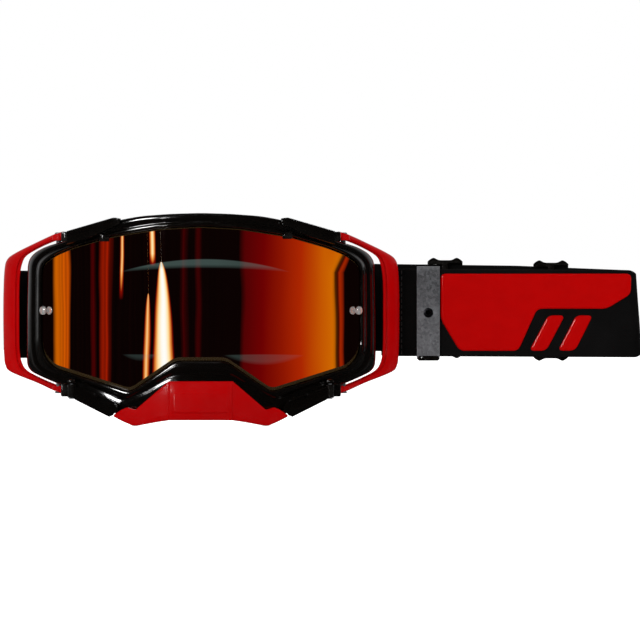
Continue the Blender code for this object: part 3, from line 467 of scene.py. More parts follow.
def lens_material():
    """Mirrored lens whose reflections are painted in as a glow: the painted colour sweep follows
    the direction that it reflects.
    """
    nodes = Nodes("mirror_lens")
    geometry = nodes.add("ShaderNodeNewGeometry")
    reflect = nodes.add("ShaderNodeVectorMath", operation="REFLECT")
    nodes.link(geometry.outputs["Incoming"], reflect.inputs[0])
    nodes.link(geometry.outputs["Normal"], reflect.inputs[1])
    away_x, away_y, _ = nodes.split(reflect.outputs[0])
    x, _, z = nodes.axes()
    wobble = nodes.noise(0.035, 2.0, stretch=(1.6, 1.0, 0.35))
    ripple = nodes.remap(wobble, 0.3, 0.7, -1.6, 1.6)
    bearing = nodes.calc("DEGREES", nodes.calc("ARCTAN2", nodes.times(away_x, -1.0), away_y))
    bearing = nodes.calc("ADD", bearing, ripple)
    jog = nodes.times(nodes.remap(z, 70.0, 80.0), nodes.remap(bearing, 78.0, 84.0, 0.0, -6.0))
    share = nodes.calc("DIVIDE", nodes.calc("ADD", nodes.calc("ADD", bearing, jog), 180.0), 360.0)
    stops = [((angle + 180.0) / 360.0, colour) for angle, colour in mirror_sweep()]
    sweep = nodes.ramp(share, stops)
    lines = nodes.add("ShaderNodeTexNoise", noise_dimensions="1D")
    lines.inputs["Scale"].default_value = 0.45
    lines.inputs["Detail"].default_value = 3.0
    nodes.link(bearing, lines.inputs["W"])
    depth = nodes.remap(nodes.calc("ABSOLUTE", nodes.calc("ADD", bearing, 40.0)), 42.0, 58.0,
                        0.75, 0.0)
    tint = nodes.remap(lines.outputs["Fac"], 0.3, 0.7, 0.35, 1.5)
    grey = nodes.add("ShaderNodeCombineColor")
    for socket in grey.inputs[:3]:
        nodes.link(tint, socket)
    sweep = nodes.mix(depth, sweep, nodes.mix(1.0, sweep, grey.outputs[0], "MULTIPLY"))
    # Painted highlights: upright studio lights painted into the lens as glow.
    lights = [
        painted_streak(nodes, bearing, z, -47.0, 1.5, 57.0, 99.0, fade=14.0, sharp=9.0),
        painted_streak(nodes, bearing, z, -28.0, 2.0, 73.0, 99.0, fade=6.0, sharp=9.0),
        painted_streak(nodes, bearing, z, -33.0, 2.5, 14.0, 60.0, lean=2.0, sharp=3.0),
        painted_streak(nodes, bearing, z, -22.5, 6.5, 14.0, 75.0, sharp=2.0),
    ]
    glow = lights[3]
    for light, strength in zip(lights, (0.46, 0.58, 0.44)):
        glow = nodes.calc("MAXIMUM", glow, nodes.times(light, strength))
    ember, peach, cream = srgb(130, 20, 0), srgb(235, 140, 60), srgb(255, 225, 160)
    painted_highlight = nodes.ramp(glow, [
        (0.0, (0.0, 0.0, 0.0)), (0.12, ember), (0.3, peach), (0.5, cream),
        (0.8, (1.0, 0.95, 0.85)), (1.0, (1.0, 1.0, 0.95)),
    ])
    painted_reflection = nodes.mix(1.0, sweep, painted_highlight, "LIGHTEN")
    # Painted teal bands, glowing as part of the lens's painted reflection.
    for middle, upper, lower, share in (
            (2.0, (76.4, -0.0037), (72.4, -0.0012), 0.3),
            (30.0, (31.3, -0.001), (26.4, 0.0125), 0.15),
            (-28.2, (31.3, 0.0), (28.4, 0.037), 0.12)):
        band = crescent(nodes, nodes.calc("SUBTRACT", x, middle), z, upper, lower)
        share = nodes.remap(x, 8.0, 45.0, share, share * 0.5)
        painted_reflection = nodes.mix(nodes.times(band, share), painted_reflection, srgb(105, 130, 125))
    # Seen from behind, the painted reflection gives way to a dim brown glow.
    back = geometry.outputs["Backfacing"]
    painted_reflection = nodes.mix(back, painted_reflection, (0.012, 0.004, 0.003))
    rough = nodes.remap(nodes.noise(1.4, 5.0, roughness=0.8), 0.35, 0.8, 0.02, 0.09)
    return nodes.finish(colour=(0.0012, 0.0006, 0.0005), roughness=rough, emission=painted_reflection,
                        emission_strength=1.0, specular=0.01,
                        normal=nodes.bump(wobble, 0.05, 0.05))


def lens_rim_material():
    """The lens's cut edge: smoky olive polycarbonate."""
    nodes = Nodes("lens_edge")
    cut = nodes.noise(3.0, 4.0)
    shade = nodes.mix(cut, (0.03, 0.017, 0.005), (0.05, 0.03, 0.01))
    return nodes.finish(colour=shade, roughness=nodes.remap(cut, 0.3, 0.7, 0.15, 0.35),
                        normal=nodes.bump(cut, 0.03, 0.3))


# ---------------------------------------------------------------- outlines

def whole(half):
    """The closed outline whose right half runs from the top centre to the bottom centre."""
    return half + [(-x, z) for x, z in reversed(half) if x > 0]


def offset_outline(outline, distance):
    """A clockwise outline moved outwards by a distance, with its corners kept sharp."""
    moved = []
    for index, (x, z) in enumerate(outline):
        before = outline[index - 1]
        after = outline[(index + 1) % len(outline)]
        first = Vector((before[1] - z, x - before[0])).normalized()
        second = Vector((z - after[1], after[0] - x)).normalized()
        step = (first + second) * (distance / (1.0 + first.dot(second)))
        moved.append((x + step.x, z + step.y))
    return moved


def round_corners(points, radius, steps=4, closed=True):
    """A line in two or three dimensions with each corner replaced by a short curve."""
    made = []
    count = len(points)
    for index, point in enumerate(points):
        here = Vector(point)
        if not closed and index in (0, count - 1):
            made.append(here)
            continue
        before = Vector(points[index - 1])
        after = Vector(points[(index + 1) % count])
        size = radius[index] if isinstance(radius, (list, tuple)) else radius
        if size <= 0.0:
            made.append(here)
            continue
        start = here + (before - here).normalized() * min(size, (before - here).length * 0.45)
        end = here + (after - here).normalized() * min(size, (after - here).length * 0.45)
        for step in range(steps + 1):
            share = step / steps
            made.append(start * (1 - share) ** 2 + here * 2 * share * (1 - share)
                        + end * share ** 2)
    return made


def resample(points, spacing):
    """A closed two-dimensional line with extra points so that no gap exceeds the spacing."""
    made = []
    for index, point in enumerate(points):
        here = Vector(point)
        after = Vector(points[(index + 1) % len(points)])
        pieces = max(1, math.ceil((after - here).length / spacing))
        made += [here.lerp(after, step / pieces) for step in range(pieces)]
    return made


class Outline:
    """A rounded closed outline that can be cut by rays from the ring's centre."""

    def __init__(self, points, radius=3.0, steps=5):
        self.points = np.array([tuple(p) for p in round_corners(points, radius, steps)])
        self.points[:, 1] -= RING_CENTRE_Z
        self.edges = np.roll(self.points, -1, axis=0) - self.points

    def angles(self, spacing):
        dense = np.array([tuple(p) for p in resample([tuple(p) for p in self.points], spacing)])
        return np.degrees(np.arctan2(dense[:, 0], dense[:, 1])) % 360.0

    def hit(self, angle):
        along = np.array((math.sin(math.radians(angle)), math.cos(math.radians(angle))))
        across = along[0] * self.edges[:, 1] - along[1] * self.edges[:, 0]
        safe = np.where(np.abs(across) < 1e-9, 1.0, across)
        reach = (self.points[:, 0] * self.edges[:, 1] - self.points[:, 1] * self.edges[:, 0]) / safe
        place = (self.points[:, 0] * along[1] - self.points[:, 1] * along[0]) / safe
        good = (np.abs(across) > 1e-9) & (place > -1e-6) & (place < 1.0 + 1e-6)
        best = reach[good].max()
        return float(along[0] * best), float(along[1] * best + RING_CENTRE_Z)


def merge_angles(groups, gap):
    """Angles from several outlines, without near repeats."""
    kept = []
    for angle in sorted(float(a) for group in groups for a in group):
        if not kept or angle - kept[-1] > gap:
            kept.append(angle)
    return kept


def ring_sections(outer, inner, angles, profile, depth):
    """Sections between two outlines, from (share of the way in, level) points."""
    sections = []
    for angle in angles:
        far = outer.hit(angle)
        near = inner.hit(angle)
        section = []
        for share, level in profile:
            x, z = lerp(far, near, share)
            section.append((x, depth(x, level), z))
        sections.append(section)
    return sections


def height_at(points, x):
    """Height of an open line of (x, z) points at x, held level past its ends."""
    if x <= points[0][0]:
        return points[0][1]
    for (x0, z0), (x1, z1) in zip(points, points[1:]):
        if x <= x1 and x1 > x0:
            return z0 + (z1 - z0) * (x - x0) / (x1 - x0)
    return points[-1][1]


def upper_edge(half):
    """The part of a right half that runs outwards along the top."""
    widest = max(range(len(half)), key=lambda index: half[index][0])
    return half[:widest + 1]


def lower_edge(half):
    """The part of a right half that runs along the bottom, from the centre outwards."""
    widest = max(x for x, _ in half)
    last = max(index for index, point in enumerate(half) if point[0] == widest)
    return list(reversed(half[last:]))


def skin_y(x, offset):
    """Depth of the surface that lies this far in front of the lens cylinder."""
    radius = LENS_RADIUS + offset
    return LENS_FRONT_Y + LENS_RADIUS - math.sqrt(radius * radius - x * x)


def rear_y(x):
    """Depth of the frame's rear rim, which follows the face."""
    return FACE_Y + FACE_RADIUS - math.sqrt(FACE_RADIUS * FACE_RADIUS - x * x)


def lerp(a, b, share):
    """A point between two points or numbers."""
    if isinstance(a, (int, float)):
        return a + (b - a) * share
    return tuple(p + (q - p) * share for p, q in zip(a, b))


def spline(points, count):
    """A smooth line through the points, with equal steps of the point index."""
    made = []
    last = len(points) - 1
    for step in range(count):
        place = last * step / (count - 1)
        index = min(int(place), last - 1)
        share = place - index
        p = [Vector(points[min(max(index + offset, 0), last)]) for offset in (-1, 0, 1, 2)]
        made.append(0.5 * (2.0 * p[1] + (p[2] - p[0]) * share
                           + (2.0 * p[0] - 5.0 * p[1] + 4.0 * p[2] - p[3]) * share ** 2
                           + (3.0 * p[1] - p[0] - 3.0 * p[2] + p[3]) * share ** 3))
    return made


# ---------------------------------------------------------------- mesh helpers

def new_piece(name, mesh_bm, looks, sharp=35.0):
    """A smooth-shaded object from a bmesh in millimetres."""
    bmesh.ops.recalc_face_normals(mesh_bm, faces=mesh_bm.faces)
    bmesh.ops.scale(mesh_bm, vec=(MM, MM, MM), verts=mesh_bm.verts)
    mesh = bpy.data.meshes.new(name)
    mesh_bm.to_mesh(mesh)
    mesh_bm.free()
    for look in looks if isinstance(looks, (list, tuple)) else [looks]:
        mesh.materials.append(look)
    mesh.shade_smooth()
    mesh.set_sharp_from_angle(angle=math.radians(sharp))
    piece = bpy.data.objects.new(name, mesh)
    bpy.context.scene.collection.objects.link(piece)
    return piece


def loft(sections, closed=False, into=None):
    """Skin a row of matching sections. An open row is capped at both ends."""
    mesh_bm = into or bmesh.new()
    rows = [[mesh_bm.verts.new(tuple(point)) for point in section] for section in sections]
    count = len(rows[0])
    pairs = list(zip(rows, rows[1:]))
    if closed:
        pairs.append((rows[-1], rows[0]))
    for first, second in pairs:
        for index in range(count):
            after = (index + 1) % count
            mesh_bm.faces.new((first[index], first[after], second[after], second[index]))
    if not closed:
        mesh_bm.faces.new(rows[0])
        mesh_bm.faces.new(rows[-1])
    return mesh_bm


def turned(centre, axis, profile, segments=48, into=None):
    """A turned solid from (height along the axis, radius) rings."""
    turn = Vector((0.0, 0.0, 1.0)).rotation_difference(Vector(axis))
    angles = [2.0 * math.pi * step / segments for step in range(segments)]
    return loft([[Vector(centre) + turn @ Vector((radius * math.cos(a), radius * math.sin(a),
                                                  height)) for a in angles]
                 for height, radius in profile], into=into)


def turned_ring(centre, axis, profile, segments=48, into=None):
    """A turned ring whose closed profile is a list of (radius, height)."""
    turn = Vector((0.0, 0.0, 1.0)).rotation_difference(Vector(axis))
    angles = [2.0 * math.pi * step / segments for step in range(segments)]
    return loft([[Vector(centre) + turn @ Vector((radius * math.cos(a), radius * math.sin(a),
                                                  height)) for radius, height in profile]
                 for a in angles], closed=True, into=into)


def soft_box(low, high, radius, into=None):
    """A block with rounded edges along its longest direction and eased ends."""
    sizes = [high[i] - low[i] for i in range(3)]
    along = sizes.index(max(sizes))
    a, b = [i for i in range(3) if i != along]
    radius = min(radius, min(sizes[a], sizes[b]) * 0.45)
    ends = [(0.0, radius), (radius * 0.3, radius * 0.45), (radius, 0.0)]
    spots = [(low[along] + d, inset) for d, inset in ends]
    spots += [(high[along] - d, inset) for d, inset in reversed(ends)]
    sections = []
    for place, inset in spots:
        corners = [(low[a] + inset, low[b] + inset), (high[a] - inset, low[b] + inset),
                   (high[a] - inset, high[b] - inset), (low[a] + inset, high[b] - inset)]
        section = []
        for u, v in round_corners(corners, radius, 3):
            point = [0.0, 0.0, 0.0]
            point[along], point[a], point[b] = place, u, v
            section.append(tuple(point))
        sections.append(section)
    return loft(sections, into=into)


def side_box(side, low, high, radius, into):
    """A rounded block given for the right side, or its mirror image on the left."""
    near, far = sorted((side * low[0], side * high[0]))
    soft_box((near, *low[1:]), (far, *high[1:]), radius, into=into)


def densify(keys, gap):
    """Keys with extra ones between them, so that no step in x exceeds the gap."""
    dense = []
    for first, second in zip(keys, keys[1:]):
        pieces = max(1, math.ceil(abs(second[0] - first[0]) / gap))
        dense += [lerp(first, second, step / pieces) for step in range(pieces)]
    return dense + [keys[-1]]


def arc(centre, radius, start, sweep, count):
    """Points along an arc, its angles given in degrees."""
    angles = [math.radians(start + sweep * step / count) for step in range(count + 1)]
    return [(centre[0] + radius * math.cos(a), centre[1] + radius * math.sin(a)) for a in angles]


def cut(piece, mesh_bm, name):
    """Subtract a hidden cutter and apply the result."""
    cutter = new_piece(name, mesh_bm, piece.data.materials[0])
    step = piece.modifiers.new("cut", "BOOLEAN")
    step.operation = "DIFFERENCE"
    step.object = cutter
    apply_modifiers(piece)
    bpy.data.objects.remove(cutter)
    piece.data.shade_smooth()
    piece.data.set_sharp_from_angle(angle=math.radians(35.0))


def apply_modifiers(piece):
    """Replace the mesh with its evaluated shape."""
    bpy.context.view_layer.update()
    graph = bpy.context.evaluated_depsgraph_get()
    mesh = bpy.data.meshes.new_from_object(piece.evaluated_get(graph))
    piece.modifiers.clear()
    piece.data = mesh


def ribbon_section(x, y, across, low, high, thickness):
    """The rounded cross-section of a strap: a thin upright slab with soft selvages."""
    half = thickness / 2.0
    edge = 0.55
    selvage = [(-half, edge), (-half * 0.55, edge * 0.25), (0.0, 0.0),
               (half * 0.55, edge * 0.25), (half, edge)]
    inner = np.linspace(low + edge, high - edge, 9)[1:-1]
    line = [(side, low + rise) for side, rise in selvage]
    line += [(half, z) for z in inner]
    line += [(-side, high - rise) for side, rise in selvage]
    line += [(-half, z) for z in reversed(inner)]
    return [(x + across.x * side, y + across.y * side, z) for side, z in line]


def ribbon(path, thickness, into=None, wave=0.0):
    """A band along (x, y, low, high) points, with a faint slackness."""
    sections = []
    for index, (x, y, low, high) in enumerate(path):
        before = path[max(index - 1, 0)]
        after = path[min(index + 1, len(path) - 1)]
        along = Vector((after[0] - before[0], after[1] - before[1])).normalized()
        across = Vector((-along.y, along.x))
        section = []
        for px, py, pz in ribbon_section(x, y, across, low, high, thickness):
            push = wave * noise.noise(Vector((px * 0.03, pz * 0.045, 1.7)))
            section.append((px + across.x * push, py + across.y * push, pz))
        sections.append(section)
    return loft(sections, into=into)


def stitches(columns, y, low):
    """Upright lines of short raised stitches, from the strap's lower edge to its upper one."""
    length, radius = 1.9, 0.32
    profile = [(share * length, thick * radius) for share, thick in
               ((0.0, 0.3), (0.12, 0.85), (0.5, 1.0), (0.88, 0.85), (1.0, 0.3))]
    step = (STRAP_HEIGHT - 2.0 * SEAM_MARGIN) / (SEAM_STITCHES - 1)
    mesh_bm = bmesh.new()
    for x in columns:
        for index in range(SEAM_STITCHES):
            start = Vector((x, y, low + SEAM_MARGIN + index * step - length / 2.0))
            turned(start, (0, 0, 1), profile, segments=8, into=mesh_bm)
    return mesh_bm


def name_slot(piece):
    """The name of a piece's first material, without its variant number; nothing is done with it."""
    look = piece.data.materials[0].name.split(".")[0]


def register(piece, body, *nodes):
    """Ride a piece on its body and hide the CAD nodes that it stands for."""
    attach(piece, body)
    name_slot(piece)
    if nodes:
        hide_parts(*nodes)


def add_piece(name, mesh_bm, looks, body, *nodes, sharp=35.0):
    """Make a piece and register it."""
    register(new_piece(name, mesh_bm, looks, sharp), body, *nodes)


def add_blend(name, mesh_bm, looks, body, start, end, *nodes):
    """Make a piece with its placement baked into its mesh, and hide the CAD nodes that it stands
    for.
    """
    piece = new_piece(name, mesh_bm, looks)
    name_slot(piece)
    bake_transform(piece)
    if nodes:
        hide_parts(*nodes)


# ---------------------------------------------------------------- looks of the pieces

BLACK = moulded_plastic("black_gloss_plastic", (0.002, 0.0013, 0.0009), (0.03, 0.028, 0.026),
                        0.06, 0.3)
RED = moulded_plastic("red_gloss_plastic", (0.47, 0.0006, 0.0012), (0.6, 0.004, 0.005), 0.12, 0.02,
                      0.12)
LENS = lens_material()
LENS_EDGE = lens_rim_material()
CLEAR = clear_material("clear_plastic", (0.86, 0.88, 0.88))
FOAM = foam_material("black_foam", (0.006, 0.006, 0.006), (0.035, 0.035, 0.036), 0.9)
VENT_FOAM = foam_material("vent_foam", (0.004, 0.004, 0.004), (0.03, 0.03, 0.031), 0.5)
FLEECE = fleece_material()
WEBBING = webbing_material("black_webbing", (0.0008, 0.0007, 0.0007), (0.0042, 0.0035, 0.0035))
PRINT = print_material()
GRIP = soft_touch_rubber("grip_silicone", (0.06, 0.06, 0.063), 0.42)
GASKET = soft_touch_rubber("gasket_foam", (0.02, 0.02, 0.021), 0.85)
STEEL = galvanised_material("galvanised_steel", (0.055, 0.057, 0.062), (0.24, 0.245, 0.26),
                            metallic=0.35)
DARK_STEEL = galvanised_material("dark_steel", (0.012, 0.012, 0.014), (0.06, 0.06, 0.066), 0.3)
THREAD = thread_material()

# ---------------------------------------------------------------- frame

BEZEL_PROFILE = [
    (0.0, -0.9), (0.0, -0.1), (0.03, 0.4), (0.09, 0.8), (0.18, 1.12), (0.28, 1.25), (0.4, 1.15),
    (0.5, 0.85), (0.56, 0.55), (0.61, 0.5), (0.66, 0.62), (0.71, 1.0), (0.77, 1.25),
    (0.86, 1.3), (0.93, 1.15), (0.98, 0.8), (1.0, 0.3),
]


def frame_lines():
    """Rounded outlines that the frame's section is hung on."""
    outer = whole(FRAME_HALF)
    lens = whole(LENS_HALF)
    rear = whole(REAR_OUTER_HALF)
    return {
        "outer": Outline(outer, 3.5),
        "outer_in": Outline(offset_outline(outer, -0.8), 3.5),
        "lip": Outline(offset_outline(lens, 0.4), 3.0),
        "seat": Outline(offset_outline(lens, -4.0), 2.5),
        "wall": Outline(offset_outline(outer, -2.6), 3.5),
        "rear": Outline(rear, 5.0),
        "rear_in": Outline(offset_outline(rear, -1.0), 5.0),
        "rear_wall": Outline(offset_outline(rear, -2.6), 5.0),
        "rim": Outline(whole(REAR_INNER_HALF), 6.0),
        "rim_in": Outline(offset_outline(whole(REAR_INNER_HALF), 1.2), 6.0),
    }


def frame_section(lines, angle):
    """One closed section of the frame, from the front bezel round to the outer wall."""
    at = {key: line.hit(angle) for key, line in lines.items()}

    def spot(key, y):
        return at[key][0], y, at[key][1]

    points = []
    for share, rise in BEZEL_PROFILE:
        x, z = lerp(at["outer"], at["lip"], share)
        points.append((x, skin_y(x, rise), z))
    seat_y = skin_y(at["seat"][0], SEAT_OFFSET)
    points += [spot("lip", skin_y(at["lip"][0], SEAT_OFFSET + 0.4)),
               spot("lip", skin_y(at["lip"][0], SEAT_OFFSET)),
               spot("seat", seat_y), spot("seat", seat_y + 2.2),
               spot("wall", skin_y(at["wall"][0], SEAT_OFFSET) + 2.2)]
    rear = {key: rear_y(at[key][0]) for key in ("rear", "rear_in", "rear_wall", "rim", "rim_in")}
    points += [spot("rear_wall", rear["rear_wall"] - 2.4), spot("rim_in", rear["rim_in"] - 2.4),
               spot("rim", rear["rim"] - 1.9), spot("rim", rear["rim"] - 0.5),
               spot("rim_in", rear["rim_in"]), spot("rear_in", rear["rear_in"]),
               spot("rear", rear["rear"] - 0.5), spot("rear", rear["rear"] - 2.6),
               spot("rear_in", rear["rear_in"] - 3.2)]
    front = skin_y(at["outer"][0], 0.0)
    wall_low = (at["rear_in"][0], rear["rear_in"] - 3.2, at["rear_in"][1])
    wall_high = spot("outer_in", front + 7.6)
    points += [lerp(wall_low, wall_high, 0.33), lerp(wall_low, wall_high, 0.66), wall_high,
               spot("outer", front + 7.0), spot("outer", front + 5.6),
               spot("outer_in", front + 5.0), spot("outer_in", front + 3.2),
               spot("outer", front + 2.6)]
    return points


def slot_cutter(x, width, depth, low, high):
    """An upright cutter with round ends, for a vent slot."""
    middle = (skin_y(x, 0.0) + rear_y(x)) / 2.0 + 2.0
    corners = [(x - width / 2, middle - depth / 2), (x + width / 2, middle - depth / 2),
               (x + width / 2, middle + depth / 2), (x - width / 2, middle + depth / 2)]
    line = round_corners(corners, depth * 0.45, 4)
    return [[(u, v, z) for u, v in line] for z in (low, high)]


def build_main_frame():
    """The frame: a rounded bezel, a lens seat, ribbed outer walls and a rear rim."""
    lines = frame_lines()
    angles = merge_angles([lines["outer"].angles(2.2), lines["lip"].angles(2.6)], 0.35)
    piece = new_piece("main_frame_shell", loft([frame_section(lines, a) for a in angles],
                                               closed=True), BLACK)
    cutters = bmesh.new()
    slots = [(x, 13.0, 5.0, upper_edge, -9.0, 5.0) for x in (-48.0, -24.0, 0.0, 24.0, 48.0)]
    slots += [(side * x, 8.6, 3.4, lower_edge, -5.0, 6.5) for side, _ in SIDES
              for x in (47.0, 60.0)]
    for x, width, depth, edge_of, below, above in slots:
        edge = height_at(edge_of(FRAME_HALF), abs(x))
        loft(slot_cutter(x, width, depth, edge + below, edge + above), into=cutters)
    cut(piece, cutters, "vent_cutters")
    register(piece, "root", "main_frame")
    details = bmesh.new()
    for x in (-45.6, 41.0):
        edge = height_at(upper_edge(LENS_HALF), abs(x))
        front = skin_y(x, 1.35)
        soft_box((x - 2.4, front, edge - 1.3), (x + 2.4, front + 2.4, edge + 2.2), 0.5,
                 into=details)
    rib_x = 79.4
    rib_y = skin_y(rib_x, 0.0) + 9.0
    for side, _ in SIDES:
        side_box(side, (59.6, 10.0, 17.3), (63.0, 18.6, 19.4), 0.7, details)
        side_box(side, (61.4, 14.3, 11.2), (66.4, 18.0, 17.4), 0.6, details)
        side_box(side, (60.5, 14.6, 84.6), (66.3, 17.4, 89.4), 0.6, details)
        for z in (41.0, 62.0):
            side_box(side, (rib_x, rib_y, z - 1.1), (rib_x + 1.1, rib_y + 2.6, z + 1.1), 0.4,
                     details)
    add_piece("main_frame_details", details, BLACK, "root")


# ---------------------------------------------------------------- lens

def rounded_edges(half, radius):
    """The upper and lower edges of a rounded right half, as open lines from the centre out."""
    line = [tuple(p) for p in round_corners(whole(half), radius, 4)]
    right = sorted({(round(x, 4), round(z, 4)) for x, z in line if x >= -1e-6})
    widest = [z for x, z in right if x > right[-1][0] - 0.01]
    middle = sum(widest) / len(widest)
    return [p for p in right if p[1] >= middle], [p for p in right if p[1] < middle]


def lens_columns(widest):
    """Lateral positions across the lens, closer together near its ends."""
    inner = [float(x) for x in np.arange(-72.0, 72.5, 1.0)]
    ends = [widest - step for step in (0.0, 0.05, 0.15, 0.3, 0.5, 0.8, 1.2, 1.7, 2.3)]
    return sorted(inner + [side * x for x in ends for side in (-1, 1)])


def build_lens():
    """The mirrored lens, with a ground rim."""
    top, bottom = rounded_edges(LENS_HALF, 2.6)
    widest = top[-1][0]
    sections = []
    for x in lens_columns(widest):
        low = height_at(bottom, abs(x))
        high = height_at(top, abs(x))
        front = skin_y(x, 0.0)
        back = skin_y(x, -LENS_THICKNESS)
        ease = min(1.6, (high - low) * 0.2)
        levels = [lerp(low + ease, high - 0.5, share / 8.0) for share in range(9)]
        section = [(x, front, z) for z in levels]
        section += [(x, front + 0.4, high), (x, back, high), (x, back, low),
                    (x, front + 0.6, low)]
        sections.append(section)
    mesh_bm = loft(sections)
    mesh_bm.normal_update()
    axis_y = LENS_FRONT_Y + LENS_RADIUS
    bmesh.ops.recalc_face_normals(mesh_bm, faces=mesh_bm.faces)
    for face in mesh_bm.faces:
        centre = face.calc_center_median()
        radial = Vector((centre.x, centre.y - axis_y, 0.0)).normalized()
        face.material_index = 0 if face.normal.dot(radial) > 0.985 else 1
    add_piece("mirror_lens_shell", mesh_bm, [LENS, LENS_EDGE], "lens", "lens", sharp=8.0)


def build_gasket():
    """The foam seal behind the lens."""
    outer = Outline(offset_outline(whole(LENS_HALF), -0.6), 2.5)
    inner = Outline(offset_outline(whole(LENS_HALF), -3.4), 2.0)
    profile = [(0.0, -2.5), (0.12, -2.15), (0.5, -2.1), (0.88, -2.15), (1.0, -2.5),
               (1.0, -2.9), (0.88, -3.1), (0.12, -3.1), (0.0, -2.9)]
    angles = merge_angles([outer.angles(3.0)], 0.4)
    sections = ring_sections(outer, inner, angles, profile, skin_y)
    add_piece("lens_gasket_ring", loft(sections, closed=True), GASKET, "root", "lens_gasket")


def skin_normal(x):
    """Outward direction of the lens cylinder at x."""
    return Vector((x, -math.sqrt(LENS_RADIUS ** 2 - x * x), 0.0)).normalized()


def build_posts():
    """The tear-off posts and their inner washers."""
    for side, label in SIDES:
        normal = skin_normal(side * POST_X)
        place = (side * POST_X, skin_y(POST_X, 0.0), POST_Z)
        profile = [(-1.9, 0.7), (-1.7, 1.0), (0.3, 1.0), (0.35, 1.5), (0.5, 1.85), (1.0, 1.9),
                   (1.25, 1.6), (1.35, 1.05), (2.5, 0.95), (3.9, 1.05), (4.1, 1.6), (4.3, 1.95),
                   (4.8, 2.05), (5.3, 1.9), (5.7, 1.45), (5.9, 0.7), (5.95, 0.15)]
        add_piece(f"tearoff_post_{label}_turned", turned(place, normal, profile, 32), CLEAR,
                  "lens", f"tearoff_post_{label}")
        ring = [(1.3, -3.0), (1.45, -3.15), (2.3, -3.15), (2.45, -3.0), (2.45, -2.45),
                (2.3, -2.3), (1.45, -2.3), (1.3, -2.45)]
        add_piece(f"tearoff_washer_{label}_turned", turned_ring(place, normal, ring, 32), CLEAR,
                  "lens", f"tearoff_washer_{label}")


# ---------------------------------------------------------------- front fittings

GUARD_KEYS = [
    (0.0, 18.5, 0.0), (5.0, 18.5, 0.0), (10.0, 18.5, 0.0), (14.0, 18.5, -0.02),
    (15.3, 18.45, -0.05), (15.9, 17.9, -0.15), (20.0, 14.4, -0.75), (25.0, 10.1, -1.65),
    (28.6, 7.0, -2.3), (30.2, 5.6, -2.6), (30.7, 5.2, -2.6), (31.3, 5.15, -2.6),
    (32.4, 5.5, -2.5), (34.4, 6.1, -1.6), (35.2, 6.0, -1.3), (37.4, 5.1, -0.3),
    (39.4, 3.8, 0.75), (40.7, 2.9, 1.45), (41.2, 2.5, 1.8),
]


def build_guard():
    """The nose guard: a flat middle, raked wings and a short shelf under the frame."""
    keys = [(-x, t, b) for x, t, b in reversed(GUARD_KEYS[1:])] + GUARD_KEYS
    sections = []
    for x, top, low in densify(keys, 1.3):
        rake = 0.55 if abs(x) < 15.2 else 0.0
        panel = 0.45 * min(1.0, max(0.0, (13.9 - abs(x)) / 0.8))
        inner = skin_y(x, 1.9)
        outer = skin_y(x, 4.9 + rake)
        tall = top - low
        reach = 1.0 - max(0.0, abs(x) - 14.5) / 26.7
        back = inner + 0.5 + 8.0 * reach
        shelf = low + min(2.2, tall / 2.0)
        r = min(0.6, tall * 0.2)
        sections.append([
            (x, outer + r + 0.5, top), (x, outer + r * 0.25 + 0.4, top - r * 0.35),
            (x, outer + 0.2, top - r), (x, outer, low + tall * 0.74),
            (x, outer - panel, low + tall * 0.69), (x, outer - panel, low + tall * 0.22),
            (x, outer, low + tall * 0.17), (x, outer, low + r),
            (x, outer + r * 0.3, low + r * 0.3), (x, outer + r, low),
            (x, back - 0.4, low), (x, back, low + 0.4), (x, back, shelf - 0.4),
            (x, back - 0.4, shelf), (x, inner + 0.5, shelf), (x, inner, shelf + 0.5 * r + 0.1),
            (x, inner, top - r * 0.5), (x, inner - 0.3, top),
        ])
    add_piece("nose_guard_moulding", loft(sections), RED, "root", "nose_guard", sharp=24.0)
    front = skin_y(PEG_X, 1.9) - 1.1
    profile = [(0.0, 0.3), (0.0, 1.1), (0.15, 1.2), (1.2 - front, 1.2), (1.5 - front, 1.0),
               (1.6 - front, 0.5)]
    for side, label in SIDES:
        peg = turned((side * PEG_X, front, PEG_Z), (0, 1, 0), profile, 24)
        add_piece(f"nose_guard_peg_{label}_turned", peg, BLACK, "root", f"nose_guard_peg_{label}")


BRACKET_TOP = [(38.0, 95.6), (41.0, 96.2), (63.6, 89.7)]


def build_brackets():
    """The stepped brackets on the frame's top edge."""
    columns = [38.0, 38.3, 38.9, 40.0, 41.5, *np.arange(43.0, 63.0, 1.5), 63.3, 63.6]
    for side, label in SIDES:
        sections = []
        for x in map(float, columns):
            top = height_at(BRACKET_TOP, x)
            low = height_at(upper_edge(FRAME_HALF), x) + 0.4
            end = min(1.0, (x - 38.0) / 0.9 + 0.25)
            inner = skin_y(x, 1.9)
            outer = skin_y(x, 1.9 + 1.7 * end)
            back = skin_y(x, 0.0) + 13.0
            rib = 0.35 if 45.0 < x < 60.0 else 0.0
            sections.append([(side * x, y, z) for y, z in (
                (outer + 0.5, top), (outer + 0.1, top - 0.2), (outer, top - 0.7),
                (outer, low - 1.7), (outer + 0.15, low - 2.3), (outer + 0.6, low - 2.5),
                (inner, low - 2.5), (inner, low), (back - 0.3, low), (back, low + 0.3),
                (back, top - 0.5), (back - 0.5, top), (back - 3.0, top), (back - 3.6, top - rib),
                (outer + 3.6, top - rib), (outer + 3.0, top))])
        add_piece(f"upper_bracket_{label}_moulding", loft(sections), BLACK, "root",
                  f"upper_bracket_{label}", sharp=30.0)


LATCH_KEYS = [
    (39.2, 6.3, 4.6), (40.0, 7.5, 4.0), (41.0, 9.0, 3.2), (41.6, 9.4, 2.4), (43.4, 10.5, 1.6),
    (45.0, 11.4, 2.4), (47.0, 12.05, 3.4), (51.0, 13.35, 5.4), (55.0, 14.65, 7.4),
    (59.0, 15.95, 9.4), (61.3, 16.7, 10.8),
]


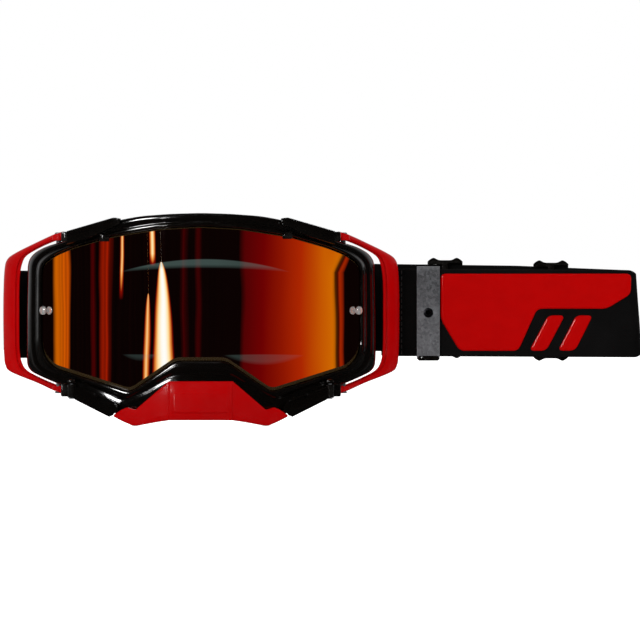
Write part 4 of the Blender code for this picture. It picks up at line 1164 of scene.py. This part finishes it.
def build_latches():
    """The lens latches, each with a finger ridge and a hinge barrel, and their pins."""
    for side, label in SIDES:
        hinge = (side * LATCH_HINGE[0], LATCH_HINGE[1], 0.0)
        sections = []
        for x, top, low in densify(LATCH_KEYS, 0.35):
            tall = top - low
            inner = skin_y(x, 1.9)
            outer = skin_y(x, 4.3)
            box = 0.6 * min(1.0, max(0.0, (50.6 - x) / 0.35), max(0.0, (x - 42.2) / 0.35))
            r = min(0.7, tall * 0.3)
            line = [(outer + r - box, top), (outer + 0.2 * r - box, top - 0.3 * r),
                    (outer - box, top - r), (outer - box, top - r - 0.7),
                    (outer + 0.25 * box, top - r - 1.0), (outer - 0.1, low + tall * 0.45),
                    (outer - 0.15, low + r + 0.5), (outer, low + r),
                    (outer + 0.2 * r, low + 0.3 * r), (outer + r, low), (inner, low),
                    (inner, top)]
            sections.append([(side * x, y, z) for y, z in line])
        mesh_bm = loft(sections)
        barrel = [(10.6, 1.5), (10.9, 1.9), (16.6, 1.9), (16.9, 1.5)]
        turned(hinge, (0, 0, 1), barrel, 32, into=mesh_bm)
        add_piece(f"lens_latch_{label}_moulding", mesh_bm, BLACK, f"latch_{label}",
                  f"lens_latch_{label}", sharp=28.0)
        pin = [(10.1, 0.9), (10.2, 1.2), (10.4, 1.3), (10.5, 1.2), (10.5, 0.8), (18.8, 0.8),
               (19.0, 0.6)]
        add_piece(f"latch_pin_{label}_turned", turned(hinge, (0, 0, 1), pin, 24), STEEL, "root",
                  f"latch_pin_{label}")


# ---------------------------------------------------------------- outriggers

ARM_KEYS = [
    (65.2, 89.6, 65.2, 86.0), (70.0, 88.1, 69.6, 84.8), (78.0, 84.5, 76.0, 82.1),
    (88.0, 79.6, 82.8, 78.2), (92.3, 76.4, 85.1, 74.4), (93.7, 71.5, 86.2, 68.5),
    (94.2, 61.0, 86.5, 60.0), (94.3, 51.0, 86.5, 51.0), (94.2, 40.0, 86.5, 42.0),
    (93.9, 31.0, 86.3, 33.0), (93.2, 26.0, 85.2, 27.3), (90.4, 22.7, 82.6, 23.5),
    (78.0, 17.7, 76.0, 20.0), (70.0, 14.1, 69.6, 17.3), (65.2, 12.5, 65.2, 15.8),
]
ARM_PROFILE = [
    (0.0, 1.9), (0.015, 1.1), (0.05, 0.5), (0.12, 0.1), (0.25, -0.2), (0.42, -0.35),
    (0.6, -0.25), (0.7, 0.0), (0.745, 0.3), (0.77, 0.9), (0.8, 1.25), (0.9, 1.35),
    (0.97, 1.5), (1.0, 1.95), (1.0, 4.5), (0.97, 4.9), (0.9, 5.0), (0.1, 5.0), (0.03, 4.9),
    (0.0, 4.5),
]


def arm_y(x):
    """Depth of the outrigger's front face."""
    return 14.5 + 1.32 * (abs(x) - 62.0)


def build_outriggers():
    """The C-shaped outriggers with their knuckles, lugs and strap bars, and the hinge pins."""
    for side, label in SIDES:
        sections = []
        for outer_x, outer_z, inner_x, inner_z in spline(ARM_KEYS, 150):
            section = []
            for share, depth in ARM_PROFILE:
                x = lerp(outer_x, inner_x, share)
                z = lerp(outer_z, inner_z, share)
                section.append((side * x, arm_y(x) + depth, z))
            sections.append(section)
        mesh_bm = loft(sections)
        hinge = (side * OUTRIGGER_HINGE[0], OUTRIGGER_HINGE[1], 0.0)
        for low, high in KNUCKLES:
            ring = [(1.5, low + 0.1), (2.9, low), (3.2, low + 0.35), (3.2, high - 0.35),
                    (2.9, high), (2.2, high), (2.2, high - 1.5), (1.5, high - 1.5)]
            if low < 50.0:
                ring = [(radius, low + high - level) for radius, level in ring]
            count = len(mesh_bm.verts)
            turned_ring(hinge, (0, 0, 1), ring, 40, into=mesh_bm)
            mesh_bm.verts.ensure_lookup_table()
            for vert in mesh_bm.verts[count:]:
                out = abs(vert.co.x) - 65.2
                vert.co.z = min(max(vert.co.z, 12.6 + 0.33 * out), 89.5 - 0.31 * out)
        for start, end in STRAP_BAR_LUGS:
            side_box(side, (86.8, 51.8, start), (91.2, 64.2, end), 0.9, mesh_bm)
        turned((side * STRAP_BAR[0], STRAP_BAR[1], 0.0), (0, 0, 1),
               [(27.5, STRAP_BAR_RADIUS), (74.0, STRAP_BAR_RADIUS)], 32, into=mesh_bm)
        add_piece(f"outrigger_{label}_moulding", mesh_bm, RED, f"outrigger_{label}",
                  f"outrigger_{label}", sharp=30.0)
        head = 88.2
        upper = [(80.9, 0.8), (81.2, 1.2), (head, 1.2), (head, 1.8), (head + 0.15, 1.9),
                 (head + 0.6, 1.85), (head + 0.85, 1.4), (head + 0.9, 0.5)]
        head = 13.6
        lower = [(head - 0.9, 0.5), (head - 0.85, 1.4), (head - 0.6, 1.85), (head - 0.15, 1.9),
                 (head, 1.8), (head, 1.2), (21.9, 1.2), (22.2, 0.8)]
        for level, profile in (("upper", upper), ("lower", lower)):
            node = f"outrigger_pin_{level}_{label}"
            add_piece(f"{node}_turned", turned(hinge, (0, 0, 1), profile, 24), STEEL, "root", node)


# ---------------------------------------------------------------- foam

def foam_ring(outer, inner, angles, start, thickness, overhang=0.0):
    """A ring of face foam with rounded edges between two outlines."""
    profile = [(0.0, 0.12), (0.05, 0.02), (0.5, 0.0), (0.95, 0.02), (1.0, 0.12),
               (1.0 + overhang, 0.5), (1.0, 0.85), (0.93, 0.97), (0.7, 1.0), (0.5, 1.02),
               (0.3, 1.0), (0.07, 0.97), (0.0, 0.85), (-overhang, 0.5)]

    def depth(x, level):
        return rear_y(x) + start + thickness * level

    return loft(ring_sections(outer, inner, angles, profile, depth), closed=True)


def rough_up(mesh_bm, amount, scale):
    """Push each vertex along its normal by a little noise."""
    mesh_bm.normal_update()
    for vert in mesh_bm.verts:
        vert.co += vert.normal * amount * noise.noise(vert.co * scale)


def build_face_foam():
    """The open-cell foam on the rear rim and the padded fleece that touches the face."""
    outer = Outline(offset_outline(whole(REAR_OUTER_HALF), -0.6), 5.0)
    inner = Outline(offset_outline(whole(REAR_INNER_HALF), 0.6), 6.0)
    angles = merge_angles([outer.angles(2.0)], 0.3)
    mesh_bm = foam_ring(outer, inner, angles, 0.5, 9.3, -0.06)
    rough_up(mesh_bm, 0.35, 0.35)
    add_piece("face_foam_ring", mesh_bm, FOAM, "root", "face_foam_base", sharp=60.0)
    piece = new_piece("face_fleece_pad", foam_ring(outer, inner, angles, 9.9, 2.6), FLEECE,
                      sharp=80.0)
    inflate(piece, 2.6, 5.0, 1.3)
    register(piece, "root", "face_foam_fleece")


def inflate(piece, voxel, pressure, cap):
    """Puff a closed pad with a short cloth simulation, each vertex moving at most the cap."""
    remesh = piece.modifiers.new("remesh", "REMESH")
    remesh.mode = "VOXEL"
    remesh.voxel_size = voxel * 0.35 * MM
    remesh.use_smooth_shade = True
    decimate = piece.modifiers.new("decimate", "DECIMATE")
    decimate.ratio = 0.25
    apply_modifiers(piece)
    rest = np.array([v.co for v in piece.data.vertices], float)
    cloth = piece.modifiers.new("cloth", "CLOTH")
    for key, value in (("quality", 6), ("mass", 0.15), ("tension_stiffness", 12.0),
                       ("compression_stiffness", 12.0), ("bending_stiffness", 0.4),
                       ("use_pressure", True), ("uniform_pressure_force", pressure)):
        setattr(cloth.settings, key, value)
    cloth.settings.effector_weights.gravity = 0.0
    frames = 16
    cloth.point_cache.frame_start = 1
    cloth.point_cache.frame_end = frames
    scene = bpy.context.scene
    for step in range(frames):
        scene.frame_set(step + 1)
    apply_modifiers(piece)
    scene.frame_set(1)
    moved = np.array([v.co for v in piece.data.vertices], float)
    push = moved - rest
    far = np.linalg.norm(push, axis=1, keepdims=True)
    push *= np.minimum(1.0, cap * MM / np.maximum(far, 1e-9))
    piece.data.vertices.foreach_set("co", (rest + push).ravel())
    piece.modifiers.new("smooth", "SMOOTH").iterations = 3
    apply_modifiers(piece)
    piece.data.shade_smooth()


def wall_height(x, y, edge_of):
    """Inner height of the frame's top or bottom wall at x and y."""
    front = height_at(edge_of(FRAME_HALF), abs(x))
    rear = height_at(edge_of(REAR_OUTER_HALF), abs(x))
    start = skin_y(x, 0.0) + 7.0
    share = (y - start) / (rear_y(x) - start)
    return front + (rear - front) * min(max(share, 0.0), 1.0)


def build_vent_foams():
    """Strips of coarse filter foam behind the vent slots."""
    strips = [("vent_foam_top", -58.0, 58.0, upper_edge, -1.0),
              ("vent_foam_lower_left", -62.0, -44.0, lower_edge, 1.0),
              ("vent_foam_lower_right", 44.0, 62.0, lower_edge, 1.0)]
    for name, start, end, edge_of, inward in strips:
        sections = []
        count = max(8, int((end - start) / 1.5))
        for step in range(count + 1):
            x = start + (end - start) * step / count
            front = skin_y(x, 0.0) + 9.5
            rear = rear_y(x) - 3.6
            corners = [(front, 5.0), (rear, 5.0), (rear, 8.0), (front, 8.0)]
            sections.append([(x, y, wall_height(x, y, edge_of) + inward * depth)
                             for y, depth in round_corners(corners, 0.9, 3)])
        mesh_bm = loft(sections)
        rough_up(mesh_bm, 0.2, 0.8)
        add_piece(f"{name}_strip", mesh_bm, VENT_FOAM, "root", name, sharp=60.0)


# ---------------------------------------------------------------- strap

def band_point(x, y, rise):
    """A path point of the band: its place and its lower and upper edges."""
    middle = height_at(rise, x)
    return x, y, middle - STRAP_HEIGHT / 2.0, middle + STRAP_HEIGHT / 2.0


def band_steps(start, end, y, rise, gap=3.0):
    """Even path points along a flat layer, without the last one."""
    count = max(1, round(abs(end - start) / gap))
    return [band_point(start + (end - start) * step / count, y, rise) for step in range(count)]


def skew(x, z):
    """How far the fold leans outwards towards its lower corner."""
    share = min(max((x - 150.0) / 50.0, 0.0), 1.0)
    return share * share * (3.0 - 2.0 * share) * ((51.0 - z) * 0.07 + 0.7)


def build_strap():
    """The elastic: a main band and an end piece that wraps each outrigger's bar."""
    path = band_steps(RIGHT_SEAM_X, STRAP_FOLD_X, STRAP_FRONT_Y, STRAP_FRONT_RISE)
    radius = (STRAP_REAR_Y - STRAP_FRONT_Y) / 2.0
    for step in range(17):
        angle = math.pi * step / 16.0
        x, y, low, high = band_point(STRAP_FOLD_X + radius * math.sin(angle),
                                     STRAP_FRONT_Y + radius * (1.0 - math.cos(angle)), STRAP_RISE)
        tuck = 1.3 * math.sin(angle) ** 3
        path.append((x, y, low + tuck, high - tuck))
    path += band_steps(STRAP_FOLD_X, LEFT_SEAM_X, STRAP_REAR_Y, STRAP_RISE)[1:]
    path.append(band_point(LEFT_SEAM_X, STRAP_REAR_Y, STRAP_RISE))
    mesh_bm = ribbon(path, STRAP_THICKNESS, wave=0.35)
    for vert in mesh_bm.verts:
        vert.co.x += skew(vert.co.x, vert.co.z)
    add_piece("strap_band_woven", mesh_bm, WEBBING, "root", "strap_band")
    build_right_end()
    build_left_end()


LOOP_RADIUS = STRAP_BAR_RADIUS + 0.4 + STRAP_THICKNESS / 2.0


def build_right_end():
    """The end sewn round the right bar, with a doubled leaf behind its stitching."""
    low, high = RIGHT_END_Z - STRAP_HEIGHT / 2.0, RIGHT_END_Z + STRAP_HEIGHT / 2.0
    path = band_steps(RIGHT_SEAM_X, STRAP_BAR[0] + 2.0, STRAP_FRONT_Y, STRAP_FRONT_RISE, 1.3)
    loop = arc(STRAP_BAR, LOOP_RADIUS, 90.0, 186.0, 12)
    leaf = [(90.8, 60.0), (92.0, 61.0), (93.0, 62.0), (94.0, 62.7), (95.2, 62.95), (96.2, 62.98)]
    path += [(x, y, low, high) for x, y in loop + leaf]
    bend = ("outrigger_right", (90.5, STRAP_BAR[1], 51.0), (98.5, STRAP_BAR[1], 51.0))
    add_blend("strap_right_end_woven", ribbon(path, STRAP_THICKNESS - 0.1), WEBBING, *bend,
              "strap_loop_right")
    add_blend("strap_right_stitching", stitches([95.3], 62.15, low), THREAD, *bend)


def build_left_end():
    """The end sewn round the left bar and back onto itself behind the goggles."""
    path = band_steps(LEFT_SEAM_X, -72.0, STRAP_REAR_Y, STRAP_RISE, 2.0)
    lean = [(-72.0, 71.98), (-75.0, 71.8), (-78.0, 71.1), (-81.0, 69.6), (-84.0, 67.4),
            (-86.4, 65.6)]
    loop = arc((-STRAP_BAR[0], STRAP_BAR[1]), LOOP_RADIUS, 68.0, 218.0, 11)
    leaf = [(-86.0, 62.4), (-84.4, 64.4), (-82.2, 66.6), (-79.4, 68.6), (-76.6, 69.8),
            (-73.0, 70.3), (-69.0, 70.4), (-65.0, 70.4)]
    path += [band_point(x, y, STRAP_RISE) for x, y in lean + loop + leaf]
    bend = ("outrigger_left", (-86.0, 66.0, LEFT_END_Z), (-68.0, 66.0, LEFT_END_Z))
    add_blend("strap_left_end_woven", ribbon(path, STRAP_THICKNESS), WEBBING, *bend,
              "strap_loop_left")
    thread = stitches([-66.0, -71.0], 72.85, LEFT_END_Z - STRAP_HEIGHT / 2.0)
    add_blend("strap_left_stitching", thread, THREAD, *bend)


# ---------------------------------------------------------------- keeper and print

def build_keeper():
    """The folded sheet keeper with its butt joint behind, and the rolled eyelet."""
    low_x, high_x = KEEPER_ENDS
    centre = ((low_x + high_x) / 2.0, STRAP_FRONT_Y, KEEPER_Z)
    half_y, half_z = 1.55, 21.7
    corners = [(half_y, -0.4), (half_y, -half_z), (-half_y, -half_z), (-half_y, half_z),
               (half_y, half_z), (half_y, 0.4)]
    line = round_corners(corners, [0, 1.1, 1.1, 1.1, 1.1, 0], 5, closed=False)
    dense = line[:1]
    for point in line[1:]:
        start = dense[-1]
        pieces = max(1, math.ceil((point - start).length / 3.0))
        dense += [start.lerp(point, (step + 1) / pieces) for step in range(pieces)]
    inner = [(low_x, -0.2), (low_x + 0.12, -0.36), (low_x + 0.4, -0.4), (high_x - 0.4, -0.4),
             (high_x - 0.12, -0.36), (high_x, -0.2)]
    outer = [(high_x, 0.2), (high_x - 0.12, 0.36), (high_x - 0.4, 0.4), (high_x - 1.5, 0.4),
             (high_x - 1.7, 0.34), (low_x + 1.7, 0.34), (low_x + 1.5, 0.4), (low_x + 0.4, 0.4),
             (low_x + 0.12, 0.36), (low_x, 0.2)]
    profile = inner + outer
    sections = []
    for index, point in enumerate(dense):
        before = dense[max(index - 1, 0)]
        after = dense[min(index + 1, len(dense) - 1)]
        along = (after - before).normalized()
        out = Vector((-along.y, along.x))
        places = [(x, point - out * side) for x, side in profile]
        sections.append([(x, centre[1] + place.x, centre[2] + place.y) for x, place in places])
    piece = new_piece("strap_keeper_sheet", loft(sections), STEEL, sharp=30.0)
    bore = turned(centre, (0, -1, 0), [(0.9, 1.75), (6.0, 1.75)], 40)
    cut(piece, bore, "keeper_bore")
    register(piece, "keeper", "strap_keeper")
    # Painted shade: a black cap over the keeper's lower fold, where the fold lies in shadow.
    pad = soft_box((low_x + 0.5, centre[1] - 2.25, 28.15), (high_x - 0.3, centre[1] + 2.2, 30.5),
                   0.6)
    add_piece("strap_keeper_shade_cap", pad, BLACK, "keeper")
    front = 1.95
    ring = [(1.0, 1.2), (1.0, front + 0.3), (1.1, front + 0.62), (1.3, front + 0.8),
            (1.75, front + 0.8), (2.1, front + 0.65), (2.3, front + 0.3), (2.2, front + 0.18),
            (1.6, front + 0.25), (1.6, 1.2)]
    add_piece("keeper_eyelet_rolled", turned_ring(centre, (0, -1, 0), ring, 48), DARK_STEEL,
              "keeper", "keeper_eyelet")


def print_outlines():
    """The raised print: an angled block with a bar, and two slanted stripes."""
    left, right = 113.9, 205.4
    low, high = 32.8, 69.6
    bar = low + 20.0
    slant = 9.0
    panel = [(left, high), (right, high), (right - 1.0, bar + 7.0), (right - 13.0, bar),
             (left + 46.0, bar), (left + 46.0 - slant, low), (left + slant, low),
             (left, low + 15.0)]
    stripes = [[(start, bar - 3.0), (start + 8.0, bar - 3.0), (start + 8.0 - slant, low),
                (start - slant, low)] for start in (left + 51.0, left + 64.0)]
    return panel, stripes


def eased_ring(outline, radius, counts, steps=6):
    """An outline with rounded corners and a set number of points along each edge."""
    curve = round_corners(outline, radius, steps)
    made = []
    for index, count in enumerate(counts):
        corner = curve[index * (steps + 1):(index + 1) * (steps + 1)]
        after = curve[((index + 1) * (steps + 1)) % len(curve)]
        made += corner
        made += [corner[-1].lerp(after, step / count) for step in range(1, count)]
    return [tuple(point) for point in made]


def print_plate(outline, back, height):
    """A poured print with a rounded shoulder that follows the strap round its fold."""
    counts = [max(1, math.ceil((Vector(a) - Vector(b)).length / 2.5))
              for a, b in zip(outline, outline[1:] + outline[:1])]
    rings = [(0.0, 0.0), (0.06, 0.3), (0.2, 0.58), (0.45, 0.8), (0.8, 0.93), (1.2, 0.99),
             (1.5, 1.0), (1.6, 1.0)]
    fold = 4.6
    sections = []
    for inset, rise in rings:
        section = []
        for x, z in eased_ring(offset_outline(outline, -inset), 2.6 - 0.9 * inset, counts):
            bend = min(max(0.0, x - STRAP_FOLD_X), 4.0)
            y = back - height * rise + (fold - math.sqrt(fold ** 2 - bend ** 2))
            section.append((x + skew(x, z), y, z))
        sections.append(section)
    return loft(sections)


def build_print():
    """The red print on the strap's front layer."""
    back = STRAP_FRONT_Y - STRAP_THICKNESS / 2.0 + 0.2
    panel, stripes = print_outlines()
    named = [("strap_print_panel", panel), ("strap_print_stripe_1", stripes[0]),
             ("strap_print_stripe_2", stripes[1])]
    for name, outline in named:
        add_piece(f"{name}_poured", print_plate(outline, back, 1.2), PRINT, "root", name,
                  sharp=50.0)


def build_grips():
    """The silicone grip lines inside the strap, poured in short beads."""
    start = STRAP_FRONT_Y + STRAP_THICKNESS / 2.0 - 0.1
    bead = 4.0
    for level, middle in (("upper", 59.0), ("lower", 43.0)):
        sections = []
        for step in range(305):
            along = step * 0.25
            swell = 0.72 + 0.28 * abs(math.sin(math.pi * along / bead)) ** 0.5
            ends = min(1.0, (min(along, 76.0 - along) + 0.15) / 0.8) ** 0.5
            half = swell * ends
            angles = [math.pi * turn / 8.0 for turn in range(9)]
            sections.append([(120.0 + along, start + 0.75 * half * math.sin(angle),
                              middle + half * math.cos(angle)) for angle in angles])
        add_piece(f"strap_grip_{level}_beads", loft(sections), GRIP, "root",
                  f"strap_grip_{level}", sharp=60.0)


# ---------------------------------------------------------------- adjusters

def build_adjusters():
    """The three-bar sliders on the rear layer with the strap tail sewn round a bar."""
    for label, x, z in (("left", 116.1, 53.2), ("right", 166.5, 52.0)):
        half = 16.7 / 2.0
        opening = 43.4 / 2.0
        mesh_bm = bmesh.new()
        webs = [(2.4, x - half + 4.0, x + half, 74.4, 76.0, 0.5),
                (0.9, x - half + 0.4, x - 1.0, 69.5, 70.8, 0.4)]
        for direction in (-1, 1):
            adjuster_rail(mesh_bm, x, z, half, direction * (opening - 0.2))
            for inward, start, end, front, back, radius in webs:
                low, high = sorted((direction * (opening - inward), direction * (opening + 0.4)))
                soft_box((start, front, z + low), (end, back, z + high), radius, into=mesh_bm)
        reach = opening + 0.8
        for start, width, front, back in ((x - half, 2.4, 74.35, 76.15),
                                          (x + half - 2.4, 2.4, 74.35, 76.15),
                                          (x - 1.5, 3.0, 69.3, 70.9)):
            soft_box((start, front, z - reach), (start + width, back, z + reach), 0.75,
                     into=mesh_bm)
        for rib in (-8.0, 0.0, 8.0):
            soft_box((x + half - 2.1, 75.6, z + rib - 0.7), (x + half - 0.3, 76.5, z + rib + 0.7),
                     0.3, into=mesh_bm)
        add_piece(f"strap_adjuster_{label}_moulding", mesh_bm, BLACK, f"adjuster_{label}",
                  f"strap_adjuster_{label}", sharp=30.0)
        build_tail(label, x - half, z)


def adjuster_rail(into, x, z, half, start):
    """A rail of an adjuster, with a rounded bump at each end and a dip between them."""
    direction = 1.0 if start > 0 else -1.0
    sections = []
    for step in range(33):
        share = step / 32.0
        bump = math.exp(-((share - 0.17) / 0.1) ** 2) + math.exp(-((share - 0.83) / 0.1) ** 2)
        ease = min(1.0, min(share, 1.0 - share) / 0.07) ** 0.5
        rise = (1.3 + 1.15 * bump) * (0.45 + 0.55 * ease)
        place = x - half + 2.0 * half * share
        near, far, r = 69.3, 76.15, 0.5
        low, high = z + start, z + start + direction * rise
        corners = [(near, low), (far, low), (far, high), (near, high)]
        sections.append([(place, y, level) for y, level in round_corners(corners, r, 3)])
    loft(sections, into=into)


def build_tail(label, bar_x, z):
    """Webbing folded round an adjuster's bar, with its leaves stitched together."""
    front, back = 73.55, 76.95
    radius = (back - front) / 2.0
    bend = (bar_x + 2.4 + 0.9 + 0.5 - radius, (back + front) / 2.0)
    low, high = z - STRAP_HEIGHT / 2.0, z + STRAP_HEIGHT / 2.0
    path = [(bar_x - gap, front) for gap in (9.0, 7.0, 5.0, 2.0)]
    path += arc(bend, radius, -90.0, 180.0, 10)
    path += [(bar_x - 2.0, back - 0.1), (bar_x - 4.0, back - 1.0), (bar_x - 5.5, front + 1.25),
             (bar_x - 7.0, front + 1.1), (bar_x - 9.0, front + 1.1)]
    mesh_bm = ribbon([(x, y, low, high) for x, y in path], 1.0)
    body = f"adjuster_{label}"
    add_piece(f"strap_tail_{label}_woven", mesh_bm, WEBBING, body, f"strap_tail_{label}")
    thread = stitches([bar_x - 6.6, bar_x - 8.0], front + 1.7, low)
    add_piece(f"strap_tail_{label}_stitching", thread, THREAD, body)


# ---------------------------------------------------------------- studio

def build_camera():
    """A long lens straight in front of the goggles."""
    data = bpy.data.cameras.new("camera")
    data.lens = 1425.0
    data.sensor_width = 36.0
    data.clip_end = 100.0
    camera = bpy.data.objects.new("camera", data)
    camera.location = CAMERA_PLACE
    camera.rotation_euler = (math.radians(90.0), 0.0, 0.0)
    bpy.context.scene.collection.objects.link(camera)
    bpy.context.scene.camera = camera


def area_light(name, location, target, size, power, shine=False):
    """A soft rectangular light: it either lights the surfaces or only shines in them."""
    data = bpy.data.lights.new(name, "AREA")
    data.shape = "RECTANGLE"
    data.size, data.size_y = size
    data.energy = power
    light = bpy.data.objects.new(name, data)
    light.visible_diffuse = not shine
    light.visible_glossy = shine
    light.location = location
    aim = Vector(target) - Vector(location)
    light.rotation_euler = aim.to_track_quat("-Z", "Y").to_euler()
    bpy.context.scene.collection.objects.link(light)


def build_world():
    """White behind the object, and a softer, darker room for its reflections."""
    world = bpy.data.worlds.new("studio")
    bpy.context.scene.world = world
    world.use_nodes = True
    world.cycles.sampling_method = "NONE"
    nodes = Tree(world.node_tree)
    rays = nodes.add("ShaderNodeLightPath").outputs
    _, depth, _ = nodes.split(nodes.add("ShaderNodeTexCoord").outputs["Generated"])
    shine = nodes.choose(rays["Is Glossy Ray"], 0.85, nodes.remap(depth, 0.15, 0.75, 0.012, 0.55))
    background = nodes.tree.nodes["Background"]
    nodes.put(nodes.choose(rays["Is Camera Ray"], shine, 1.0), background.inputs["Strength"])
    background.inputs["Color"].default_value = (1.0, 1.0, 1.0, 1.0)


def build_floor():
    """A plain pale floor that the nose guard rests on."""
    mesh = bpy.data.meshes.new("floor")
    size = 30.0
    corners = [(x * size, y * size, FLOOR_Z) for x, y in ((-1, -1), (1, -1), (1, 1), (-1, 1))]
    mesh.from_pydata(corners, [], [(0, 1, 2, 3)])
    floor = bpy.data.objects.new("floor", mesh)
    nodes = Nodes("floor")
    rays = nodes.add("ShaderNodeLightPath").outputs
    shade = nodes.mix(nodes.noise(0.02, 3.0), (0.9, 0.9, 0.9), (0.93, 0.93, 0.93))
    shade = nodes.mix(rays["Is Glossy Ray"], shade, (0.02, 0.02, 0.02))
    glow = nodes.times(rays["Is Camera Ray"], 0.62)
    mesh.materials.append(nodes.finish(colour=shade, roughness=1.0, specular=0.0,
                                       emission=(1.0, 1.0, 1.0), emission_strength=glow))
    bpy.context.scene.collection.objects.link(floor)


def build_studio():
    """Camera, background, floor and lights."""
    build_camera()
    build_world()
    build_floor()
    bpy.context.scene.view_settings.view_transform = "Standard"
    area_light("key", (-0.5, -0.9, 1.1), (0.03, 0.02, 0.05), (0.5, 0.3), 3.5)
    area_light("rim", (0.2, 0.9, 0.9), OBJECT_MIDDLE, (0.9, 0.2), 4.0)
    for name, location, target, size, power in (
            ("strip", (-0.46, -1.1, 0.25), (-0.09, 0.02, 0.05), (0.03, 0.3), 1.4),
            ("flank", (-0.26, -0.3, 0.26), (-0.022, 0.0, 0.014), (0.12, 0.12), 1.9),
            ("top", (-0.05, -0.5, 1.0), (0.0, 0.02, 0.09), (0.5, 0.012), 0.1),
            ("sheen", (0.2, 0.9, 0.7), OBJECT_MIDDLE, (0.9, 0.05), 0.8)):
        area_light(name, location, target, size, power, shine=True)


def main():
    """Build the goggles and the studio."""
    for build in (build_main_frame, build_lens, build_gasket, build_posts, build_guard,
                  build_brackets, build_latches, build_outriggers, build_face_foam,
                  build_vent_foams, build_strap, build_keeper, build_print, build_grips,
                  build_adjusters, build_studio):
        build()


main()
